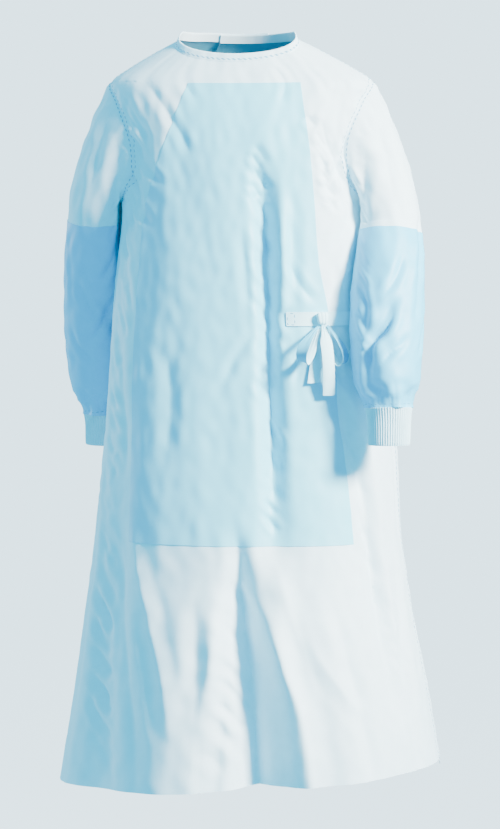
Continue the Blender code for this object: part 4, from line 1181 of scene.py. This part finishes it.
def add_cuff(name, stations, knit):
    """A ribbed knitted tube with soft rims, at the end of an arm."""
    count = RIB_POINTS * CUFF_RIBS
    turns = 2 * pi * np.arange(count) / count
    rib = RIB_DEPTH * np.cos(CUFF_RIBS * turns)[:, None]
    outer, inner = [], []
    for share in np.linspace(0, 1, CUFF_ROWS + 1):
        z = stations[-2].z + (stations[-1].z - stations[-2].z) * share
        middle = arm_curve(stations, np.array(z))[0]
        ring = arm_ring(stations, float(z), turns)[0]
        out = unit(ring - middle)
        half = CUFF_WALL / 2 * rim_thickness(share, CUFF_ROUND, CUFF_RIM)
        wall = ring + out * (rib - RIB_DEPTH - CUFF_WALL / 2)
        outer.append(wall + out * half)
        inner.append(wall - out * half)
    cuff = shell(f"cuff_{name}", np.array(outer), np.array(inner), [knit, knit], True)
    dress(cuff, f"{name}_cuff")


def belt_angle(x):
    """The angle at which the belt's top edge is at x across the front."""
    s = section(np.array(BELT_TOP_Z))
    return -float(np.arccos((x - s.centre_x) / s.half_width))


def belt_out(angle):
    """The belt lies on the cloth, then climbs onto the outer back panel where it is sewn."""
    climb = smooth_step((angle - BELT_LIFT_START) / (BELT_LIFT_END - BELT_LIFT_START))
    return BELT_OUT + (LAP_OUT - BELT_SINKS) * climb


def tape_box(start, end, top_z, bottom_z, out):
    """The outline of a sewn box on a tape, between two angles and two heights."""
    way = np.linspace(0, 1, BOX_POINTS)
    angles = np.concatenate([start + (end - start) * way, end + 0 * way,
                             end + (start - end) * way, start + 0 * way])
    heights = np.concatenate([top_z + 0 * way, top_z + (bottom_z - top_z) * way,
                              bottom_z + 0 * way, bottom_z + (top_z - bottom_z) * way])
    return body_line(angles, heights, out + 0 * angles)


def add_belt(tie, thread):
    """Two lengths of tape: a short one sewn to the front, a long one from the back panel."""
    first, last = body_row(BELT_TOP_Z), body_row(BELT_BOTTOM_Z)
    rows = list(np.linspace(first, last, BELT_ROWS + 1))
    join = belt_angle(BOW_X)
    front = np.linspace(belt_angle(BELT_FRONT_X), join, BELT_FRONT_COLUMNS + 1)
    short = body_shell("tie_front", lambda row: front, rows, slice(None), BELT_OUT, TAPE,
                       [tie, tie])
    dress(short, "waist_tie_front")
    end = float(back_angles(first)[BELT_BACK_COLUMN])
    side = np.linspace(join, end, BELT_SIDE_COLUMNS)
    long = body_shell("tie_side", lambda row: side, rows, slice(None), belt_out, TAPE,
                      [tie, tie])
    dress(long, "waist_tie_side")
    inset = BOX_INSET / float(body_radius(front[0], BELT_TOP_Z))
    top_z, bottom_z = BELT_TOP_Z - BOX_INSET, BELT_BOTTOM_Z + BOX_INSET
    boxes = [tape_box(front[0] + inset, front[0] + BOX_FRONT_INSETS * inset, top_z, bottom_z,
                      BELT_OUT + TAPE),
             tape_box(end - BOX_BACK_INSETS * inset, end - inset, top_z, bottom_z,
                      belt_out(end) + TAPE)]
    stitches("tie_stitches", boxes, thread)


def tie_width(share):
    """A tie is bunched at the knot and opens to its full width."""
    return TIE_ROOT_WIDTH + (TIE_WIDTH - TIE_ROOT_WIDTH) * smooth_step(share / TIE_OPENS_OVER)


def ribbon(name, path, across, widths, place, sides):
    """A soft tape along a path, a little cupped and bunched where it is narrow."""
    path = np.array(path)
    ahead = unit(np.gradient(path, axis=0))
    face = unit(np.cross(ahead, across))
    across = unit(np.array(across))
    offsets = np.linspace(-0.5, 0.5, TAPE_COLUMNS + 1)
    outer, inner = [], []
    for point, normal, width in zip(path, face, widths):
        bunched = 1 - (width - TIE_ROOT_WIDTH) / (TIE_WIDTH - TIE_ROOT_WIDTH)
        wave = (TAPE_WAVE * bunched * np.cos(2 * pi * TAPE_WAVES * offsets)
                + TAPE_CUP * (1 - bunched) * (1 - TAPE_CUP_CURVE * offsets ** 2))
        edge = np.sqrt(np.clip(1 - (2 * offsets) ** TAPE_RIM_POWER, 0, 1))
        half = TAPE / 2 * (TAPE_RIM + (1 - TAPE_RIM) * edge)
        line = point + across * (offsets * width)[:, None] + normal * wave[:, None]
        outer.append(line + normal * half[:, None])
        inner.append(line - normal * half[:, None])
    turned = [np.array([place @ Vector(p) for p in grid.reshape(-1, 3)]).reshape(grid.shape)
              for grid in (np.array(outer), np.array(inner))]
    obj = shell(f"{name}_cloth", *turned, sides)
    dress(obj, name)


def bow_place():
    """Where the bow's own axes are: x along the belt, y inwards and z up."""
    angle = belt_angle(BOW_X)
    middle_z = (BELT_TOP_Z + BELT_BOTTOM_Z) / 2
    seat = body_surface(np.array(angle), np.array(middle_z), BELT_OUT + TAPE + SEAM)
    beside = body_cloth(angle + BOW_TURN, middle_z) - body_cloth(angle - BOW_TURN, middle_z)
    above = body_cloth(angle, middle_z) - body_cloth(angle, middle_z - BOW_REACH)
    inwards, up = unit(np.cross(above, beside)), unit(above)
    turned = Matrix(np.stack([np.cross(inwards, up), inwards, up], axis=1).tolist())
    return Matrix.Translation(Vector(seat)) @ turned.to_4x4()


def add_loop(loop, place, tie, inside):
    ahead = unit(np.array([loop.ahead_x, 0.0, loop.ahead_z]))
    outwards = np.array([0.0, -1.0, 0.0])
    square = np.cross(outwards, ahead) * np.sign(loop.ahead_x)
    rise = square * sin(LOOP_TILT) + outwards * cos(LOOP_TILT)
    across = np.cross(ahead, rise)
    drop = (abs(across[2]) * TIE_ROOT_WIDTH + abs(rise[2]) * (LOOP_ROOT_GAP + TAPE)) / 2
    root = np.array([np.sign(loop.ahead_x) * LOOP_ROOT_X, LOOP_ROOT_Y, TIE_ROOT_Z - drop])
    path, widths = [], []
    for step in range(LOOP_STEPS + 1):
        share = step / LOOP_STEPS
        height = loop.front_height if share < 0.5 else LOOP_BACK
        away = height * sin(2 * pi * share) + LOOP_ROOT_GAP * (0.5 - share)
        stand = LOOP_STAND * sin(pi * share)
        path.append(root + ahead * LOOP_LENGTH * sin(pi * share) + rise * away
                    + outwards * stand)
        widths.append(tie_width(min(share, 1 - share)))
    # The loop's inner face takes the dark blue painted shade.
    ribbon(loop.name, path, across, widths, place, [tie, inside])


def add_tail(tail, place, tie):
    root = np.array([tail.root_x, tail.root_y, TIE_ROOT_Z])
    end = np.array([tail.end_x, tail.end_y, TIE_ROOT_Z - tail.length])
    path, widths = [], []
    for step in range(TAIL_STEPS + 1):
        share = step / TAIL_STEPS
        bow = np.array([0.0, -tail.sag * sin(pi * share), 0.0])
        path.append(root + (end - root) * share + bow)
        widths.append(tie_width(share))
    ribbon(tail.name, path, [1.0, 0.0, 0.0], widths, place, [tie, tie])


def add_knot(place, tie):
    """The knot: a tape wound over the bow's middle, with soft creases along its winding."""
    wide, deep, tall = KNOT_SIZE
    turns = 2 * pi * np.arange(KNOT_COLUMNS) / KNOT_COLUMNS
    y, z = np.cos(turns), np.sin(turns)
    square = (abs(y) ** KNOT_SQUARENESS + abs(z) ** KNOT_SQUARENESS) ** (-1 / KNOT_SQUARENESS)
    rings = []
    for x in np.linspace(-1, 1, KNOT_RINGS):
        barrel = (1 - abs(x) ** KNOT_FLATNESS) ** KNOT_END_POWER
        shrink = barrel * KNOT_BARREL + (1 - KNOT_BARREL) * (1 - x * x) ** 0.5
        crease = 1.0
        for dent in KNOT_CREASES:
            crease -= dent.depth * np.exp(-((x - dent.place) / dent.width) ** 2)
        rings.append(np.stack([x * wide / 2 + KNOT_SLANT * x * z,
                               -deep / 2 + y * square * shrink * crease * deep / 2,
                               z * square * shrink * crease * tall / 2], axis=-1))
    rings = np.array(rings)
    turned = np.array([place @ Vector(p) for p in rings.reshape(-1, 3)])
    count = KNOT_COLUMNS
    faces = [(i + j, i + (j + 1) % count, i + count + (j + 1) % count, i + count + j)
             for i in range(0, (KNOT_RINGS - 1) * count, count) for j in range(count)]
    faces.append(tuple(range(count))[::-1])
    faces.append(tuple((KNOT_RINGS - 1) * count + k for k in range(count)))
    mesh = bpy.data.meshes.new("knot")
    mesh.from_pydata(turned.tolist(), [], faces)
    mesh.uv_layers.new(name="cloth")
    obj = add_piece("knot", mesh, [tie])
    dress(obj, "tie_knot")


def add_neck_tab(hook, thread):
    """Hook tape sewn near the outer back panel's neck, reaching past its edge."""
    first, last = TAB_ROWS
    rows = [r / TAB_STEPS for r in range(first * TAB_STEPS, last * TAB_STEPS + 1)]
    tab = body_shell("neck_hook_tape", back_angles_at_tab, rows, slice(None), TAB_OUT, TAB_CLOTH,
                     [hook, hook])
    dress(tab, "neck_tab")
    angles, heights = grid_places(back_angles_at_tab, rows)
    middle = TAB_COLUMNS // 2
    sides = [(row, slice(1, middle)) for row in (1, -2)]
    sides += [(slice(1, -1), column) for column in (1, middle)]
    lines = [body_line(angles[side], heights[side], TAB_OUT + TAB_CLOTH + 0 * angles[side])
             for side in sides]
    stitches("tape_stitches", lines, thread)


def back_angles_at_tab(row):
    side = ARMHOLE_BACK * armhole_share(row)
    start = side + (OUTER_EDGE - side) * TAB_START_SHARE
    end = OUTER_EDGE + (INNER_EDGE - OUTER_EDGE) * TAB_END_SHARE
    return np.linspace(start, end, TAB_COLUMNS)


def pucker(rng, angle, z, run_angle, run_z, size):
    """A short crease from a place on a seam. Its length, depth and lean are uneven."""
    length = rng.uniform(*PUCKER_LENGTHS)
    lean = rng.uniform(*PUCKER_LEANS)
    end = (angle + (run_angle + lean * run_z) * length, z + run_z * length)
    middle = ((angle + end[0]) / 2, (z + end[1]) / 2)
    return Crease(size * PUCKER_WIDTH * rng.uniform(*PUCKER_WIDTHS),
                  size * PUCKER_DEPTH * rng.uniform(*PUCKER_DEPTHS), ((angle, z), middle, end))


def uneven(rng, count):
    """Shares from 0 to 1, at uneven steps."""
    return (np.arange(count) + rng.uniform(*UNEVEN_STEP, count)) / count


def press_drags(field, rows, rng):
    """Rows of short creases that lean the same way and are uneven in length and depth."""
    for row in rows:
        (first_angle, first_z), (last_angle, last_z) = row.first, row.last
        for share in uneven(rng, row.count):
            angle = first_angle + (last_angle - first_angle) * share + rng.uniform(*DRAG_SHIFTS)
            z = first_z + (last_z - first_z) * share
            length, bend = rng.uniform(*DRAG_LENGTHS), rng.uniform(*DRAG_BENDS)
            across, down = row.run_angle * length, row.run_z * length
            points = ((angle, z), (angle + across * bend, z + down / 2), (angle + across, z + down))
            field.press(Crease(row.width * rng.uniform(*DRAG_WIDTHS),
                               row.depth * rng.uniform(*DRAG_DEPTHS), points))


def press_seams(body):
    """Draws in the side, shoulder and armhole seams, with puckers beside them."""
    rng = np.random.default_rng(SEAM_SEED)
    for middle, side in ((0, 1), (180, -1)):
        line = ((middle, 0.0), (middle, SEAM_MIDDLE_Z), (middle, HEM_Z))
        body.press(Crease(SEAM_WIDTH, SEAM_DEPTH, line), SEAM_FADE)
        for share in uneven(rng, SIDE_PUCKERS.count):
            z = ARMPIT_Z + (HEM_Z - ARMPIT_Z) * share
            way = rng.choice((-1, 1))
            body.press(pucker(rng, middle + way, z, way * SIDE_PUCKERS.run_angle,
                              SIDE_PUCKERS.run_z, SIDE_PUCKERS.size))
        for share in uneven(rng, ARMHOLE_PUCKERS.count):
            angle, z = armhole_place(2 * pi * share, side)
            outward = np.sign((np.degrees(angle) - middle + 180) % 360 - 180)
            turn = 2 * pi * share
            body.press(pucker(rng, np.degrees(angle), z,
                              outward * ARMHOLE_PUCKERS.run_angle * abs(sin(turn)),
                              ARMHOLE_PUCKERS.run_z * cos(turn), ARMHOLE_PUCKERS.size))
        loop = [armhole_place(t, side) for t in np.linspace(0, 2 * pi, SEAM_POINTS)]
        line = [(np.degrees(angle), z) for angle, z in loop]
        body.press(Crease(SEAM_WIDTH, SEAM_DEPTH, line), SEAM_FADE)
    start, end = BELT_GATHER_ANGLES
    for share in uneven(rng, BELT_GATHERS.count):
        angle = start + (end - start) * share
        for z, gathers in ((BELT_TOP_Z, BELT_GATHERS), (BELT_BOTTOM_Z, LOWER_BELT_GATHERS)):
            run = rng.uniform(-gathers.run_angle, gathers.run_angle)
            body.press(pucker(rng, angle, z, run, gathers.run_z, gathers.size))


def press_sleeve_seams(field, stations, rng):
    """Puckers below the armhole's seam, and gathers where the cloth is sewn to the cuff."""
    side, cuff_z = np.sign(stations[0].x), stations[-2].z - CUFF_GATHER_DROP
    for puckers, start_z in ((SLEEVE_PUCKERS, lambda turn: armhole_place(turn, side)[1]),
                             (CUFF_GATHERS, lambda turn: cuff_z)):
        for share in uneven(rng, puckers.count):
            z = start_z(2 * pi * share)
            run = rng.uniform(-puckers.run_angle, puckers.run_angle)
            field.press(pucker(rng, 360 * share, z, run, puckers.run_z, puckers.size))


def make_fields():
    """The creases and small waves of the body and of each sleeve."""
    body = Field(FIELD_TOP, FIELD_BOTTOM, body_radius)
    for crease in BODY_CREASES:
        body.press(crease)
    press_drags(body, BODY_DRAGS, np.random.default_rng(DRAG_SEED))
    press_seams(body)
    body.ripple(SOFT_WAVES, BODY_RADIUS)
    body.ripple(CRUMPLE, BODY_RADIUS)
    middle_z = (BELT_TOP_Z + BELT_BOTTOM_Z) / 2
    near_belt = ((body.heights - middle_z) / BELT_CINCH_REACH) ** BELT_CINCH_POWER
    near_belt = np.exp(-near_belt)[:, None]
    angle = np.linspace(-180, 180, FIELD_COLUMNS, endpoint=False)[None, :]
    start, end = BELT_CINCH_ANGLES
    near_belt = near_belt * (smooth_step((angle - start) / BELT_CINCH_FADE)
                             * smooth_step((end - angle) / BELT_CINCH_FADE))
    body.values *= smooth_step(-body.heights / YOKE_FADE)[:, None]
    body.values += near_belt * (BELT_CINCH - BELT_CINCH_FLATTENS * body.values)
    sleeves = []
    for arm in ARMS:
        field = Field(SLEEVE_FIELD_TOP, SLEEVE_FIELD_BOTTOM,
                      lambda angle, z: SLEEVE_RADIUS + 0 * angle * z)
        for crease in arm.creases:
            field.press(crease)
        drag_seed = arm.waves.seed + SLEEVE_DRAG_SEED_STEP
        press_drags(field, SLEEVE_DRAGS, np.random.default_rng(drag_seed))
        press_sleeve_seams(field, arm.stations, np.random.default_rng(arm.waves.seed))
        field.ripple(arm.waves, SLEEVE_RADIUS)
        sleeves.append(field)
    return body, sleeves


def set_camera():
    back = Vector((sin(VIEW_AZIMUTH) * cos(VIEW_ELEVATION),
                   -cos(VIEW_AZIMUTH) * cos(VIEW_ELEVATION), sin(VIEW_ELEVATION)))
    data = bpy.data.cameras.new("camera")
    camera = bpy.data.objects.new("camera", data)
    camera.location = VIEW_TARGET + back * VIEW_DISTANCE
    camera.rotation_mode = "QUATERNION"
    camera.rotation_quaternion = (-back).to_track_quat("-Z", "Y")
    data.sensor_width = SENSOR_WIDTH
    data.lens = SENSOR_WIDTH * VIEW_DISTANCE * PIXELS_PER_METRE / PICTURE_HEIGHT
    data.shift_x = (PICTURE_WIDTH / 2 - TARGET_PIXEL[0]) / PICTURE_HEIGHT
    data.shift_y = (TARGET_PIXEL[1] - PICTURE_HEIGHT / 2) / PICTURE_HEIGHT
    data.clip_end = VIEW_END
    bpy.context.scene.collection.objects.link(camera)
    bpy.context.scene.camera = camera


def add_light(light):
    """A soft square light that is aimed at the gown."""
    data = bpy.data.lights.new(light.name, "AREA")
    data.shape = "SQUARE"
    data.size = light.size
    data.energy = light.power
    data.color = light.colour
    data.spread = radians(light.spread)
    lamp = bpy.data.objects.new(light.name, data)
    lamp.location = light.place
    lamp.rotation_mode = "QUATERNION"
    lamp.rotation_quaternion = (VIEW_TARGET - Vector(light.place)).to_track_quat("-Z", "Y")
    lamp.visible_camera = light.shown
    bpy.context.scene.collection.objects.link(lamp)


def set_sky():
    """Blue light from all round for the shade, and a pale look where the sky itself shows."""
    world = bpy.data.worlds.new("studio")
    world.use_nodes = True
    nodes, links = world.node_tree.nodes, world.node_tree.links
    light, look = nodes["Background"], nodes.new("ShaderNodeBackground")
    light.inputs["Color"].default_value = SKY_LIGHT
    light.inputs["Strength"].default_value = SKY_LIGHT_STRENGTH
    look.inputs["Color"].default_value = SKY_LOOK
    look.inputs["Strength"].default_value = SKY_LOOK_STRENGTH
    path = nodes.new("ShaderNodeLightPath")
    either = nodes.new("ShaderNodeMixShader")
    links.new(path.outputs["Is Camera Ray"], either.inputs["Fac"])
    links.new(light.outputs["Background"], either.inputs[1])
    links.new(look.outputs["Background"], either.inputs[2])
    links.new(either.outputs["Shader"], nodes["World Output"].inputs["Surface"])
    bpy.context.scene.world = world


def set_stage():
    """A pale floor that curves up into a backdrop. It throws no light back on the gown."""
    curve_y = WALL_Y - CURVE_RADIUS
    profile = [(-STAGE_REACH, 0.0), (curve_y, 0.0)]
    profile += [(curve_y + CURVE_RADIUS * sin(t), CURVE_RADIUS * (1 - cos(t)))
                for t in np.linspace(0, pi / 2, CURVE_STEPS + 1)[1:]]
    profile.append((WALL_Y, WALL_HEIGHT))
    points = [(x, y, FLOOR_Z + z) for x in (-STAGE_REACH, STAGE_REACH) for y, z in profile]
    count = len(profile)
    faces = [(i, i + 1, count + i + 1, count + i) for i in range(count - 1)]
    mesh = bpy.data.meshes.new("floor")
    mesh.from_pydata(points, [], faces)
    mesh.shade_smooth()
    material = bpy.data.materials.new("floor")
    material.use_nodes = True
    shader = material.node_tree.nodes["Principled BSDF"]
    shader.inputs["Base Color"].default_value = FLOOR_COLOUR
    shader.inputs["Roughness"].default_value = FLOOR_ROUGHNESS
    shader.inputs["Emission Color"].default_value = FLOOR_GLOW
    shader.inputs["Emission Strength"].default_value = FLOOR_GLOW_STRENGTH
    mesh.materials.append(material)
    floor = bpy.data.objects.new("floor", mesh)
    bpy.context.scene.collection.objects.link(floor)
    floor.visible_diffuse = False
    floor.visible_glossy = False


body_field, sleeve_fields = make_fields()
set_camera()
cloth, panel_shade_paint, thread = paint(GOWN_CLOTH), paint(INSIDE_PAINTED_SHADE), paint(THREAD)
front_blue, sleeve_blue, knit = paint(FRONT_BLUE), paint(SLEEVE_BLUE), paint(KNIT)
tie, tie_loop_inner_shade = paint(TIE), paint(TIE_LOOP_SHADE_PAINT)
add_panels(cloth, panel_shade_paint, front_blue)
add_body_stitches(thread)
add_collar(cloth, thread)
for arm, field in zip(ARMS, sleeve_fields):
    add_sleeve(arm, field, cloth, sleeve_blue, thread)
for arm in ARMS:
    add_cuff(arm.name, arm.stations, knit)
add_belt(tie, thread)
place = bow_place()
add_knot(place, tie)
for loop in LOOPS:
    add_loop(loop, place, tie, tie_loop_inner_shade)
for tail in TAILS:
    add_tail(tail, place, tie)
add_neck_tab(paint(HOOK_TAPE), thread)
set_stage()
set_sky()
for light in LIGHTS:
    add_light(light)
